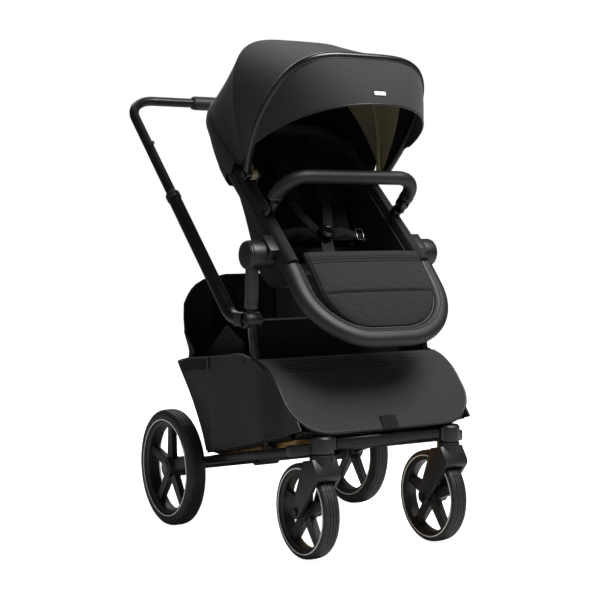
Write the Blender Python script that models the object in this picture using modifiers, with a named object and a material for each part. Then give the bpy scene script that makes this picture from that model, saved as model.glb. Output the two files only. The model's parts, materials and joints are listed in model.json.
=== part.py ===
# Stroller wagon: a pushchair seat over a wagon-like storage tub on four wheels.
# Metres, +Z up. The front is -Y and the left side, as the sitting child has it, is +X.
# The origin is on the ground, midway between the foremost and the rearmost point.
import math

import bmesh
import bpy
from mathutils import Matrix, Vector

# Gap between pieces that touch or run on each other, between cloth and what moves by it,
# and between a wheel and the fork or bracket beside it.
GAP = 0.0003
FABRIC_GAP = 0.0010
WHEEL_SIDE_GAP = 0.0030

# Rear wheels and their axle.
REAR_WHEEL_RADIUS = 0.148
REAR_TYRE_WIDTH = 0.047
REAR_TYRE_DEPTH = 0.029
REAR_AXLE_Y = 0.1295
REAR_TRACK = 0.553
REAR_AXLE_RADIUS = 0.0125
REAR_STUB_RADIUS = 0.006
REAR_HUB_RADIUS = 0.026
REAR_HUB_LENGTH = 0.040
REAR_HUB_FACE = 0.006

# Front wheels, each in a swivelling fork.
FRONT_WHEEL_RADIUS = 0.1114
FRONT_TYRE_WIDTH = 0.041
FRONT_TYRE_DEPTH = 0.015
FRONT_TRACK = 0.360
FRONT_AXLE_Y = -0.3705
FRONT_AXLE_RADIUS = 0.004
FRONT_BOLT_HEAD_RADIUS = 0.009
FRONT_BOLT_HEAD_DEPTH = 0.004
FRONT_HUB_RADIUS = 0.0215
FRONT_HUB_LENGTH = 0.036
CASTER_TRAIL = 0.060
FORK_LEG_THICKNESS = 0.009
FORK_CROWN_GAP = 0.009
FORK_STEM_RADIUS = 0.027
FORK_SPLIT_HEIGHT = 0.250
FORK_LEG_WIDTH = 0.042
FORK_FOOT_RADIUS = 0.017
FORK_LIP_REACH = 0.034

# Rims: five spokes between a hub and a ring.
SPOKE_COUNT = 5
SPOKE_WIDTH_AT_HUB = 0.0284
SPOKE_WIDTH_AT_RING = 0.019
SPOKE_THICKNESS = 0.016
RIM_RING_DEPTH = 0.009

# Lower frame.
RAIL_HALF_SPAN = 0.235
RAIL_WIDTH = 0.022
RAIL_HEIGHT = 0.021
RAIL_FRONT_HEIGHT = 0.2640
RAIL_REAR_HEIGHT = 0.1560
HOUSING_HEIGHT = 0.042
HOUSING_ARM_LENGTH = 0.045
CROSSBAR_HEIGHT = 0.028
CROSSBAR_DEPTH = 0.026
REAR_BRACKET_LENGTH = 0.070
REAR_BRACKET_HEIGHT = 0.050
REAR_BRACKET_WIDTH = 0.022
PEDAL_WIDTH = 0.110
PEDAL_REACH = 0.062
PEDAL_THICKNESS = 0.012
PEDAL_SLEEVE_WALL = 0.006
PEDAL_TRAVEL_ROOM = 0.004
LOCK_LEVER_LENGTH = 0.022
LOCK_LEVER_WIDTH = 0.008
LOCK_LEVER_THICKNESS = 0.005

# Posts, which carry the seat, and the push handle that is hinged to them.
POST_X = 0.245
POST_TUBE_RADIUS = 0.0108
POST_FOOT_Y = -0.2900
POST_FOOT_RISE = 0.004
POST_SHOULDER = (-0.2265, 0.5200)
POST_TOP = (-0.2195, 0.6600)
ADAPTER_RADIUS = 0.016
ADAPTER_FOOT_HEIGHT = 0.5720
HUB_CENTRE = (-0.2360, 0.6980)
HUB_RADIUS = 0.035
HUB_INNER_FACE = 0.2250
HUB_OUTER_FACE = 0.2620
HUB_COVER_THICKNESS = 0.0050
HUB_COVER_RADIUS = 0.0330
HANDLE_PIVOT = (-0.2265, 0.5450)
KNUCKLE_RADIUS = 0.0190
KNUCKLE_HALF_WIDTH = 0.0149
CHEEK_THICKNESS = 0.0045
HANDLE_FOLD_ANGLE = 30.0
FOLD_PIN_RADIUS = 0.0040
HANDLE_TUBE_RADIUS = 0.017
HANDLE_TUBE_WALL = 0.0037
HANDLE_COLLAR_RADIUS = 0.0190
HANDLE_COLLAR_LENGTH = 0.020
HANDLE_BEND = (-0.1330, 0.5430)
HANDLE_BEND_RADIUS = 0.085
HANDLE_RISE_ANGLE = 43.5
HANDLE_COLLAR_DISTANCE = 0.440
HANDLE_BAR_DISTANCE = 0.8208
HANDLE_INSERTION = 0.100
HANDLE_STROKE = 0.140
HANDLE_CORNER_RADIUS = 0.078
HANDLE_GRIP_RADIUS = 0.0195
HANDLE_GRIP_HALF_LENGTH = 0.0400
HEIGHT_BUTTON_RADIUS = 0.0065
HEIGHT_BUTTON_STAND = 0.0100
HEIGHT_BUTTON_TRAVEL = 0.0030
HEIGHT_BUTTON_FROM_BAR = 0.200

# Storage tub: floor board, cloth tub, divider and front lid.
BOARD_HALF_WIDTH = 0.218
BOARD_THICKNESS = 0.0135
BOARD_FRONT = (-0.3840, 0.2805)
BOARD_SLOPE = -0.2270
BOARD_LENGTH = 0.428
CLOTH_THICKNESS = 0.0030
TUB_NOSE_HALF_WIDTH = 0.2540
TUB_WAIST_HALF_WIDTH = 0.2505
TUB_SKIRT_HALF_WIDTH = 0.2185
TUB_CORNER_HOLLOW = 0.0130
DIVIDER_Y = -0.1760
DIVIDER_TOP = 0.5400
DIVIDER_HALF_WIDTH = 0.2150
DIVIDER_THICKNESS = 0.006
LID_HINGE = (-0.2700, 0.4560)
LID_FRONT = (-0.4481, 0.3017)
LID_THICKNESS = 0.007
LID_CORNER_RADIUS = 0.095

# Seat frame and hammock.
SEAT_RAIL_HALF_SPAN = 0.1820
SEAT_RAIL_RADIUS = 0.0145
SEAT_RAIL_FOOT = (-0.3130, 0.6680)
SEAT_RAIL_ANGLE = 42.5
SEAT_RAIL_LENGTH = 0.5130
SEAT_TOP_CORNER_RADIUS = 0.110
LOOP_ANGLE = 48.5
LOOP_LENGTH = 0.2100
LOOP_WIDTH = 0.0430
LOOP_THICKNESS = 0.0360
LOOP_CORNER_RADIUS = 0.140
SHELL_HALF_WIDTH_FLOOR = 0.1500
SHELL_THICKNESS = 0.0060
CUSHION_HALF_WIDTH = 0.1400
CUSHION_THICKNESS = 0.030
BACKREST_THICKNESS = 0.028
FOOTREST_HALF_WIDTH = 0.1590
FOOTREST_THICKNESS = 0.0320
FOOTREST_TOP = (-0.3230, 0.7010)
FOOTREST_LENGTH = 0.2050
FOOTREST_ANGLE = 55.5
CHANNEL_DEPTH = 0.0050
COVER_START = 0.3550
COVER_SIDE_GAP = 0.0025
COVER_BACK_ROOM = 0.0100

# Harness.
STRAP_WIDTH = 0.026
STRAP_THICKNESS = 0.003
SHOULDER_PAD_WIDTH = 0.042
SHOULDER_PAD_THICKNESS = 0.012
SHOULDER_SPREAD = 0.052
BUCKLE_RADIUS = 0.021
BUCKLE_THICKNESS = 0.014

# Bumper bar.
BUMPER_RADIUS = 0.0170
BUMPER_HALF_SPAN = 0.1880
BUMPER_PIVOT = (-0.2255, 0.8200)
BUMPER_BAR = (-0.2925, 0.8820)
BUMPER_CORNER_RADIUS = 0.060
BUMPER_SOCKET_RADIUS = 0.0135

# Canopy: two bows on one pivot, with cloth between them and a visor in front.
CANOPY_PIVOT = (-0.1275, 0.8900)
CANOPY_FOOT_HALF_WIDTH = 0.2000
CANOPY_CLOTH = 0.0030
BOW_RADIUS = 0.0065
BOW_INSET = 0.0105
REAR_ARCH_ANGLE = 38.7
MID_BOW_ANGLE = 75.5
FRONT_BOW_ANGLE = 127.0
# Each arch: its angle, its height over the pivot, its squareness and its half width.
HOOD_ARCHES = ((REAR_ARCH_ANGLE, 0.3362, 4.2, 0.2120), (MID_BOW_ANGLE, 0.3501, 4.2, 0.2150),
               (FRONT_BOW_ANGLE, 0.3420, 3.9, 0.2240))
# Share of an arch's height under which its feet draw in to the pivot.
ARCH_DRAW_IN = 0.55
HOOD_FOOT = 0.050
VISOR_FOOT = 0.085
VISOR_LIFT = 23.0
VISOR_REACH = 0.240
VISOR_HALF_WIDTH = 0.220
VISOR_SQUARENESS = 2.2
VISOR_BULGE = 0.008
PIVOT_KNOB_RADIUS = 0.0130
PIVOT_PIN_RADIUS = 0.0045

# Colour, roughness and metallic value of each finish.
LOOKS = {
    "black plastic": ((0.018, 0.018, 0.019), 0.55, 0.0),
    "satin tube": ((0.015, 0.015, 0.016), 0.38, 0.6),
    "bare tube": ((0.28, 0.28, 0.29), 0.32, 1.0),
    "tyre rubber": ((0.022, 0.022, 0.023), 0.75, 0.0),
    "shell cloth": ((0.024, 0.024, 0.025), 0.88, 0.0),
    "lining cloth": ((0.010, 0.010, 0.011), 0.92, 0.0),
    "webbing": ((0.016, 0.016, 0.017), 0.80, 0.0),
    "leatherette": ((0.014, 0.014, 0.015), 0.50, 0.0),
    "board wood": ((0.42, 0.27, 0.13), 0.60, 0.0),
}

LEFT = 1
RIGHT = -1
SIDES = ((LEFT, "left"), (RIGHT, "right"))
X_AXIS = Vector((1, 0, 0))
Z_AXIS = Vector((0, 0, 1))


def clear_scene():
    for item in list(bpy.data.objects):
        bpy.data.objects.remove(item)


def new_collection(name):
    collection = bpy.data.collections.new(name)
    bpy.context.scene.collection.children.link(collection)
    return collection


clear_scene()
wagon = new_collection("stroller_wagon")


# Plane geometry of the side view: points are (y, z), angles rise from the rear.

def along(start, degrees, distance):
    angle = math.radians(degrees)
    return (start[0] + distance * math.cos(angle), start[1] + distance * math.sin(angle))


def beside(start, degrees, distance, offset):
    """A point at a distance along a slanted line, and an offset under that line."""
    point = along(start, degrees, distance)
    return along(point, degrees - 90, offset)


def at_x(x, point):
    return Vector((x, point[0], point[1]))


def mix(first, second, share):
    return first + (second - first) * share


def table_value(rows, key, column):
    """The value in a column, between the rows on each side of the key."""
    key = min(max(key, rows[0][0]), rows[-1][0])
    for low, high in zip(rows, rows[1:]):
        if key <= high[0]:
            share = (key - low[0]) / (high[0] - low[0])
            return mix(low[column], high[column], share)
    return rows[-1][column]


def smooth_line(points, count):
    """Points at even steps on a smooth curve through some points in the side view."""
    spots = [Vector(point) for point in points]
    ends = [2 * spots[0] - spots[1]] + spots + [2 * spots[-1] - spots[-2]]
    result = []
    for step in range(count):
        place = step * (len(spots) - 1) / (count - 1)
        index = min(int(place), len(spots) - 2)
        t = place - index
        a, b, c, d = ends[index:index + 4]
        result.append(0.5 * (2 * b + (c - a) * t + (2 * a - 5 * b + 4 * c - d) * t ** 2
                             + (3 * b - a - 3 * c + d) * t ** 3))
    return result


def rounded_path(corners, radii, steps=6):
    """A line through some corners, with each inner corner turned into an arc."""
    spots = [Vector(corner) for corner in corners]
    path = [spots[0]]
    for before, corner, after, radius in zip(spots, spots[1:], spots[2:], radii):
        back = (before - corner).normalized()
        ahead = (after - corner).normalized()
        half = back.angle(ahead) / 2
        centre = corner + (back + ahead).normalized() * radius / math.sin(half)
        start = corner + back * radius / math.tan(half) - centre
        end = corner + ahead * radius / math.tan(half) - centre
        turn = math.pi - 2 * half
        for step in range(steps + 1):
            share = step / steps
            near = start * math.sin((1 - share) * turn) / math.sin(turn)
            far = end * math.sin(share * turn) / math.sin(turn)
            path.append(centre + near + far)
    path.append(spots[-1])
    return path


# Solids. Each function returns an object whose place is still free of a parent.

def new_object(name, mesh):
    item = bpy.data.objects.new(name, mesh)
    wagon.objects.link(item)
    return item


def from_bmesh(shape, name="shape"):
    mesh = bpy.data.meshes.new(name)
    shape.to_mesh(mesh)
    shape.free()
    return new_object(name, mesh)


def box(size, centre, turn=0.0):
    """A block with its size along X, Y and Z, tipped about X by some degrees."""
    shape = bmesh.new()
    bmesh.ops.create_cube(shape, size=1)
    bmesh.ops.scale(shape, vec=size, verts=shape.verts)
    item = from_bmesh(shape)
    item.matrix_world = Matrix.Translation(centre) @ Matrix.Rotation(math.radians(turn), 4, "X")
    return item


def cylinder(radius, length, centre, axis, sides=20):
    shape = bmesh.new()
    bmesh.ops.create_cone(shape, cap_ends=True, segments=sides, depth=length, radius1=radius,
                          radius2=radius)
    item = from_bmesh(shape)
    turn = Z_AXIS.rotation_difference(Vector(axis)).to_matrix().to_4x4()
    item.matrix_world = Matrix.Translation(centre) @ turn
    return item


def rod(radius, start, end, sides=16):
    start, end = Vector(start), Vector(end)
    return cylinder(radius, (end - start).length, (start + end) / 2, end - start, sides)


def rounded(item, width, segments=1):
    bevel = item.modifiers.new("rounded edges", "BEVEL")
    bevel.width = width
    bevel.segments = segments
    bevel.limit_method = "ANGLE"
    bevel.angle_limit = math.radians(40)
    return item


def tube(points, radius, resolution=2):
    """A round tube along some points, with closed ends."""
    curve = bpy.data.curves.new("tube", "CURVE")
    curve.dimensions = "3D"
    curve.bevel_depth = radius
    curve.bevel_resolution = resolution
    curve.use_fill_caps = True
    spline = curve.splines.new("POLY")
    spline.points.add(len(points) - 1)
    for spot, point in zip(spline.points, points):
        spot.co = (*point, 1)
    return settle(new_object("tube", curve))


def settle(item):
    """Turns a curve, or an object with modifiers, into its plain welded mesh."""
    bpy.context.view_layer.update()
    graph = bpy.context.evaluated_depsgraph_get()
    mesh = bpy.data.meshes.new_from_object(item.evaluated_get(graph))
    shape = bmesh.new()
    shape.from_mesh(mesh)
    bmesh.ops.remove_doubles(shape, verts=shape.verts, dist=0.000001)
    bmesh.ops.recalc_face_normals(shape, faces=shape.faces)
    shape.to_mesh(mesh)
    shape.free()
    solid = new_object(item.name, mesh)
    solid.matrix_world = item.matrix_world.copy()
    bpy.data.objects.remove(item)
    return solid


def combine(base, others, operation):
    for other in others:
        step = base.modifiers.new(operation.lower(), "BOOLEAN")
        step.operation = operation
        step.object = other
    solid = settle(base)
    for other in others:
        bpy.data.objects.remove(other)
    return solid


def fused(base, *others):
    return combine(base, others, "UNION")


def cut(base, *cutters):
    return combine(base, cutters, "DIFFERENCE")


def turned(profile, place, steps=32):
    """A ring or disc turned about the X axis through a place. The profile holds pairs of
    radius and offset along X, down its outer side and back up its inner side."""
    shape = bmesh.new()
    corners = [shape.verts.new((radius, 0, offset)) for radius, offset in profile]
    for corner, following in zip(corners, corners[1:] + corners[:1]):
        shape.edges.new((corner, following))
    item = from_bmesh(shape)
    item.matrix_world = Matrix.Translation(place) @ Matrix.Rotation(math.pi / 2, 4, "Y")
    screw = item.modifiers.new("turned", "SCREW")
    screw.steps = steps
    screw.render_steps = steps
    screw.use_merge_vertices = True
    screw.merge_threshold = 0.0001
    return settle(item)


def outline_plate(points, thickness, x):
    """A flat plate in the side view, from its outline, centred on a plane of constant X."""
    shape = bmesh.new()
    corners = [shape.verts.new((x - thickness / 2, y, z)) for y, z in points]
    face = shape.faces.new(corners)
    grown = bmesh.ops.extrude_face_region(shape, geom=[face])
    moved = [part for part in grown["geom"] if isinstance(part, bmesh.types.BMVert)]
    bmesh.ops.translate(shape, vec=(thickness, 0, 0), verts=moved)
    bmesh.ops.recalc_face_normals(shape, faces=shape.faces)
    return from_bmesh(shape)


def oval(width, height, sides=12):
    turns = [2 * math.pi * step / sides for step in range(sides)]
    return [(width / 2 * math.cos(turn), height / 2 * math.sin(turn)) for turn in turns]


def soft_box(width, height, radius):
    """A rectangular section with rounded corners."""
    section = []
    for quarter in range(4):
        for step in range(3):
            turn = math.radians(90 * quarter + 45 * step)
            right = 1 if quarter in (0, 3) else -1
            top = 1 if quarter in (0, 1) else -1
            section.append((right * (width / 2 - radius) + radius * math.cos(turn),
                            top * (height / 2 - radius) + radius * math.sin(turn)))
    return section


def swept(points, section, upward):
    """A closed bar: a section carried along a line. Its second axis stays with upward."""
    spots = [Vector(point) for point in points]
    shape = bmesh.new()
    rings = []
    for index, spot in enumerate(spots):
        ahead = Vector((0, 0, 0))
        for start, end in zip(spots[max(index - 1, 0):], spots[max(index, 1):index + 2]):
            ahead += (end - start).normalized()
        ahead.normalize()
        sideways = ahead.cross(upward).normalized()
        up = sideways.cross(ahead)
        rings.append([shape.verts.new(spot + sideways * u + up * v) for u, v in section])
    for ring, following in zip(rings, rings[1:]):
        for corner in range(len(section)):
            other = (corner + 1) % len(section)
            shape.faces.new((ring[corner], ring[other], following[other], following[corner]))
    shape.faces.new(rings[0])
    shape.faces.new(rings[-1])
    bmesh.ops.recalc_face_normals(shape, faces=shape.faces)
    return from_bmesh(shape)


def sheet(rows, thickness, offset=-1.0):
    """A cloth or panel through rows of points, given its thickness."""
    shape = bmesh.new()
    grid = [[shape.verts.new(point) for point in row] for row in rows]
    for row, following in zip(grid, grid[1:]):
        for index in range(len(row) - 1):
            shape.faces.new((row[index], row[index + 1], following[index + 1], following[index]))
    item = from_bmesh(shape)
    solidify = item.modifiers.new("thickness", "SOLIDIFY")
    solidify.thickness = thickness
    solidify.offset = offset
    solidify.use_even_offset = True
    return settle(item)


def pad(spine, half_widths, thickness, crown, channels=(), across=12):
    """A cushion along a spine of (place, upward normal) pairs, crowned on top, thinner at its
    rim, drawn in at its sides, with sewn channels at some rows."""
    shape = bmesh.new()
    top, under = [], []
    last = len(spine) - 1
    for index, ((place, normal), half_width) in enumerate(zip(spine, half_widths)):
        share = index / last
        drawn_in = 1 - 0.03 * math.sin(math.pi * share)
        end_swell = math.sqrt(max(math.sin(math.pi * (0.06 + 0.88 * share)), 0))
        top_row, under_row = [], []
        for step in range(across + 1):
            u = 2 * step / across - 1
            swell = end_swell * math.sqrt(1 - 0.9 * u ** 4)
            height = thickness * (0.35 + 0.65 * swell) / 2
            groove = CHANNEL_DEPTH if index in channels and 0 < step < across else 0
            point = place + X_AXIS * half_width * drawn_in * u
            top_row.append(shape.verts.new(point + normal * (height + crown * swell - groove)))
            under_row.append(shape.verts.new(point - normal * height))
        top.append(top_row)
        under.append(under_row)
    for surface in (top, under):
        for row, following in zip(surface, surface[1:]):
            for step in range(across):
                shape.faces.new((row[step], row[step + 1], following[step + 1], following[step]))
    for index in range(last):
        for step in (0, across):
            shape.faces.new((top[index][step], top[index + 1][step],
                             under[index + 1][step], under[index][step]))
    for index in (0, last):
        for step in range(across):
            shape.faces.new((top[index][step], top[index][step + 1],
                             under[index][step + 1], under[index][step]))
    bmesh.ops.recalc_face_normals(shape, faces=shape.faces)
    return from_bmesh(shape)


# Joint axes: each moving group hangs on an empty that stands on its axis.

def pivot(name, place, parent=None):
    empty = bpy.data.objects.new(name, None)
    empty.empty_display_size = 0.03
    wagon.objects.link(empty)
    empty.location = place
    if parent is not None:
        hold(empty, parent)
    return empty


def hold(item, parent):
    bpy.context.view_layer.update()
    item.parent = parent
    item.matrix_parent_inverse = parent.matrix_world.inverted()


def finish(item, name, look, carrier=None):
    """Names a piece, gives it its finish and hangs it on what carries it."""
    item.name = name
    item.data.name = name
    colour, roughness, metallic = LOOKS[look]
    material = bpy.data.materials.new(name)
    material.use_nodes = True
    shader = material.node_tree.nodes["Principled BSDF"]
    shader.inputs["Base Color"].default_value = (*colour, 1)
    shader.inputs["Roughness"].default_value = roughness
    shader.inputs["Metallic"].default_value = metallic
    item.data.materials.clear()
    item.data.materials.append(material)
    item.data.shade_smooth()
    item.data.set_sharp_from_angle(angle=math.radians(35))
    if carrier is not None:
        hold(item, carrier)
    return item


def copied(item, shift, name, look, carrier):
    """A second piece with the same mesh, at a shifted place."""
    twin = new_object(name, item.data.copy())
    twin.matrix_world = Matrix.Translation(shift) @ item.matrix_world
    return finish(twin, name, look, carrier)


# Wheels.

def tyre(radius, depth, width, place):
    inner = radius - depth
    profile = [(inner, 0.42 * width), (inner + 0.35 * depth, 0.50 * width),
               (radius - 0.30 * depth, 0.45 * width), (radius, 0.20 * width)]
    profile += [(ring, -offset) for ring, offset in reversed(profile)]
    return turned(profile, place)


def rim(outer, width, hub_radius, hub_length, place, bore):
    """Ring, hub and tapered spokes. The bore is the cutter for the axle's hole."""
    inner = outer - RIM_RING_DEPTH
    half = 0.40 * width
    ring = turned([(outer, half), (outer, -half), (inner, -0.8 * half), (inner, 0.8 * half)],
                  place)
    hub = cylinder(hub_radius, hub_length, place, X_AXIS)
    centre = Vector((place.y, place.z))
    length = inner + 0.5 * RIM_RING_DEPTH
    half_pitch = math.pi / SPOKE_COUNT
    star = []
    for index in range(SPOKE_COUNT):
        turn = math.pi / 2 + 2 * half_pitch * index
        outward = Vector((math.cos(turn), math.sin(turn)))
        square = Vector((-outward.y, outward.x))
        valley = Vector((math.cos(turn + half_pitch), math.sin(turn + half_pitch)))
        star.append(centre + outward * length - square * SPOKE_WIDTH_AT_RING / 2)
        star.append(centre + outward * length + square * SPOKE_WIDTH_AT_RING / 2)
        star.append(centre + valley * SPOKE_WIDTH_AT_HUB / 2 / math.sin(half_pitch))
    return cut(fused(ring, hub, outline_plate(star, SPOKE_THICKNESS, place.x)), bore)


rear_x = REAR_TRACK / 2
rear_axle_place = (REAR_AXLE_Y, REAR_WHEEL_RADIUS)
rear_place = at_x(rear_x, rear_axle_place)
front_x = FRONT_TRACK / 2
front_axle_place = (FRONT_AXLE_Y, FRONT_WHEEL_RADIUS)
front_place = at_x(front_x, front_axle_place)
swivel_y = FRONT_AXLE_Y - CASTER_TRAIL
stub_end = rear_x + REAR_HUB_LENGTH / 2 - REAR_HUB_FACE

chassis = pivot("chassis", (0, 0, 0))
rear_rim = rim(REAR_WHEEL_RADIUS - REAR_TYRE_DEPTH - GAP, REAR_TYRE_WIDTH, REAR_HUB_RADIUS,
               REAR_HUB_LENGTH, rear_place,
               rod(REAR_STUB_RADIUS + GAP, rear_place - X_AXIS * REAR_HUB_LENGTH,
                   at_x(stub_end + GAP, rear_axle_place)))
rear_tyre = tyre(REAR_WHEEL_RADIUS, REAR_TYRE_DEPTH, REAR_TYRE_WIDTH, rear_place)
front_rim = rim(FRONT_WHEEL_RADIUS - FRONT_TYRE_DEPTH - GAP, FRONT_TYRE_WIDTH, FRONT_HUB_RADIUS,
                FRONT_HUB_LENGTH, front_place,
                cylinder(FRONT_AXLE_RADIUS + GAP, 2 * FRONT_HUB_LENGTH, front_place, X_AXIS, 12))
front_tyre = tyre(FRONT_WHEEL_RADIUS, FRONT_TYRE_DEPTH, FRONT_TYRE_WIDTH, front_place)

for side, label in SIDES:
    spin = pivot("rear_wheel_axis_" + label, at_x(side * rear_x, rear_axle_place), chassis)
    if side == LEFT:
        finish(rear_rim, "rear_rim_left", "black plastic", spin)
        finish(rear_tyre, "rear_tyre_left", "tyre rubber", spin)
        continue
    for name, look in (("rear_rim", "black plastic"), ("rear_tyre", "tyre rubber")):
        model = bpy.data.objects[name + "_left"]
        mesh = model.data.copy()
        mesh.transform(model.matrix_world)
        mesh.transform(Matrix.Diagonal((-1, 1, 1, 1)))
        mesh.flip_normals()
        finish(new_object(name, mesh), name + "_right", look, spin)


# Rear axle with its stubs, its brackets and the brake pedal.

def rear_axle():
    bracket_outer = RAIL_HALF_SPAN + REAR_BRACKET_WIDTH / 2
    axle = cylinder(REAR_AXLE_RADIUS, 2 * bracket_outer, at_x(0, rear_axle_place), X_AXIS)
    stubs = cylinder(REAR_STUB_RADIUS, 2 * stub_end, at_x(0, rear_axle_place), X_AXIS)
    return fused(axle, stubs)


def rear_bracket(x):
    """A block that the side rail ends against, bored for the axle."""
    slope = math.degrees(math.atan2(RAIL_FRONT_HEIGHT - RAIL_REAR_HEIGHT, REAR_AXLE_Y - swivel_y))
    block = rounded(box((REAR_BRACKET_WIDTH, REAR_BRACKET_LENGTH, REAR_BRACKET_HEIGHT),
                        at_x(x, rear_axle_place), -slope), 0.008, 2)
    return cut(settle(block), cylinder(REAR_AXLE_RADIUS + GAP, 2 * REAR_BRACKET_WIDTH,
                                       at_x(x, rear_axle_place), X_AXIS))


def brake_pedal():
    """A sleeve on the axle with a tread plate behind it."""
    y, z = rear_axle_place
    sleeve_radius = REAR_AXLE_RADIUS + GAP + PEDAL_SLEEVE_WALL
    sleeve = cylinder(sleeve_radius, PEDAL_WIDTH * 0.6, (0, y, z), X_AXIS)
    neck = box((PEDAL_WIDTH * 0.4, PEDAL_REACH, PEDAL_THICKNESS), (0, y + PEDAL_REACH / 2, z))
    tread = rounded(box((PEDAL_WIDTH, 0.030, PEDAL_THICKNESS), (0, y + PEDAL_REACH, z)), 0.004)
    solid = fused(sleeve, neck, settle(tread))
    return cut(solid, cylinder(REAR_AXLE_RADIUS + GAP, PEDAL_WIDTH, (0, y, z), X_AXIS))


finish(rear_axle(), "rear_axle", "satin tube", chassis)
for side, label in SIDES:
    finish(rear_bracket(side * RAIL_HALF_SPAN), "rear_bracket_" + label, "black plastic", chassis)
pedal_axis = pivot("brake_pedal_axis", at_x(0, rear_axle_place), chassis)
finish(brake_pedal(), "brake_pedal", "black plastic", pedal_axis)


# Front housings, crossbar and side rails.

housing_top = FORK_SPLIT_HEIGHT + HOUSING_HEIGHT
crossbar_z = housing_top - CROSSBAR_HEIGHT / 2 - 0.004
crossbar_end = front_x - FORK_STEM_RADIUS - 0.004
rail_slope = (RAIL_REAR_HEIGHT - RAIL_FRONT_HEIGHT) / (REAR_AXLE_Y - swivel_y)


def rail_height(y):
    return RAIL_FRONT_HEIGHT + rail_slope * (y - swivel_y)


def front_housing(side):
    """Round housing over the fork, with a stub to the crossbar and an arm to the rail."""
    x = side * front_x
    drum = rounded(cylinder(FORK_STEM_RADIUS, HOUSING_HEIGHT - GAP,
                            (x, swivel_y, (FORK_SPLIT_HEIGHT + GAP + housing_top) / 2), Z_AXIS),
                   0.004)
    stub = box((front_x - crossbar_end, CROSSBAR_DEPTH, CROSSBAR_HEIGHT),
               (side * (front_x + crossbar_end) / 2, swivel_y, crossbar_z))
    arm_end = swivel_y + HOUSING_ARM_LENGTH
    knee = Vector((side * RAIL_HALF_SPAN, arm_end, rail_height(arm_end)))
    arm = swept([(x, swivel_y, rail_height(swivel_y)),
                 (x + side * 0.010, swivel_y + 0.010, rail_height(swivel_y + 0.010)),
                 knee - Vector((0, 0.012, 0.012 * rail_slope)), knee],
                soft_box(RAIL_WIDTH, RAIL_HEIGHT + 0.006, 0.005), Z_AXIS)
    fork_room = cylinder(FORK_STEM_RADIUS + FABRIC_GAP, 0.080,
                         (x, swivel_y, FORK_SPLIT_HEIGHT + GAP - 0.040), Z_AXIS)
    return cut(fused(settle(drum), stub, arm), fork_room)


def side_rail(side):
    x = side * RAIL_HALF_SPAN
    start = swivel_y + HOUSING_ARM_LENGTH + GAP
    slope = Vector((0, 1, rail_slope)).normalized()
    # The rail meets the bracket above its middle, where the tipped face is further back.
    above = RAIL_REAR_HEIGHT - REAR_WHEEL_RADIUS
    end = REAR_AXLE_Y - REAR_BRACKET_LENGTH / 2 * slope.y - above * slope.z - GAP
    return swept([(x, start, rail_height(start)), (x, end, rail_height(end))],
                 soft_box(RAIL_WIDTH, RAIL_HEIGHT, 0.005), Z_AXIS)


for side, label in SIDES:
    finish(front_housing(side), "front_housing_" + label, "black plastic", chassis)
    finish(side_rail(side), "side_rail_" + label, "satin tube", chassis)
crossbar = rounded(box((2 * (crossbar_end - GAP), CROSSBAR_DEPTH, CROSSBAR_HEIGHT),
                       (0, swivel_y, crossbar_z)), 0.005)
finish(settle(crossbar), "front_crossbar", "satin tube", chassis)


# Swivelling forks with their wheels.

def caster_fork():
    """A round stem over a crown that splits into two legs beside the wheel."""
    leg_outer = FRONT_TYRE_WIDTH / 2 + WHEEL_SIDE_GAP + FORK_LEG_THICKNESS
    stem_low = FRONT_WHEEL_RADIUS + math.sqrt((FRONT_WHEEL_RADIUS + FORK_CROWN_GAP) ** 2
                                              - CASTER_TRAIL ** 2) - 0.010
    stem = cylinder(FORK_STEM_RADIUS, FORK_SPLIT_HEIGHT - stem_low,
                    (front_x, swivel_y, (FORK_SPLIT_HEIGHT + stem_low) / 2), Z_AXIS)
    hub = Vector(front_axle_place)
    top = Vector((swivel_y, FORK_SPLIT_HEIGHT - 0.012))
    lip = Vector((swivel_y - FORK_LIP_REACH, 0.200))
    down = (hub - top).normalized()
    square = Vector((down.y, -down.x))
    outline = [top + Vector((-0.012, 0.004)), lip + Vector((0, 0.010)), lip]
    outline.append(top + down * 0.060 - square * (-FORK_LEG_WIDTH / 2))
    foot = []
    for step in range(9):
        turn = math.pi * step / 8
        foot.append(hub + square * FORK_FOOT_RADIUS * math.cos(turn)
                    + down * FORK_FOOT_RADIUS * math.sin(turn))
    if (foot[0] - lip).length > (foot[-1] - lip).length:
        foot.reverse()
        outline[-1] = top + down * 0.060 + square * (FORK_LEG_WIDTH / 2)
    outline = outline[:3] + foot
    outline.append(Vector((swivel_y + FORK_STEM_RADIUS, FORK_SPLIT_HEIGHT - 0.016)))
    crown = outline_plate(outline, 2 * leg_outer, front_x)
    solid = fused(stem, crown)
    wheel_room = cylinder(FRONT_WHEEL_RADIUS + FORK_CROWN_GAP,
                          FRONT_TYRE_WIDTH + 2 * WHEEL_SIDE_GAP, front_place, X_AXIS, 40)
    bore = cylinder(FRONT_AXLE_RADIUS + GAP, 3 * leg_outer, front_place, X_AXIS, 12)
    return cut(solid, wheel_room, bore)


def front_axle():
    """A bolt through both fork legs, with a flat head on each side."""
    leg_outer = FRONT_TYRE_WIDTH / 2 + WHEEL_SIDE_GAP + FORK_LEG_THICKNESS
    shank = cylinder(FRONT_AXLE_RADIUS, 2 * (leg_outer + FRONT_BOLT_HEAD_DEPTH), front_place,
                     X_AXIS, 16)
    heads = []
    for end in (LEFT, RIGHT):
        place = front_place + X_AXIS * end * (leg_outer + GAP + FRONT_BOLT_HEAD_DEPTH / 2)
        heads.append(cylinder(FRONT_BOLT_HEAD_RADIUS, FRONT_BOLT_HEAD_DEPTH, place, X_AXIS, 20))
    return fused(shank, *heads)


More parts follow.
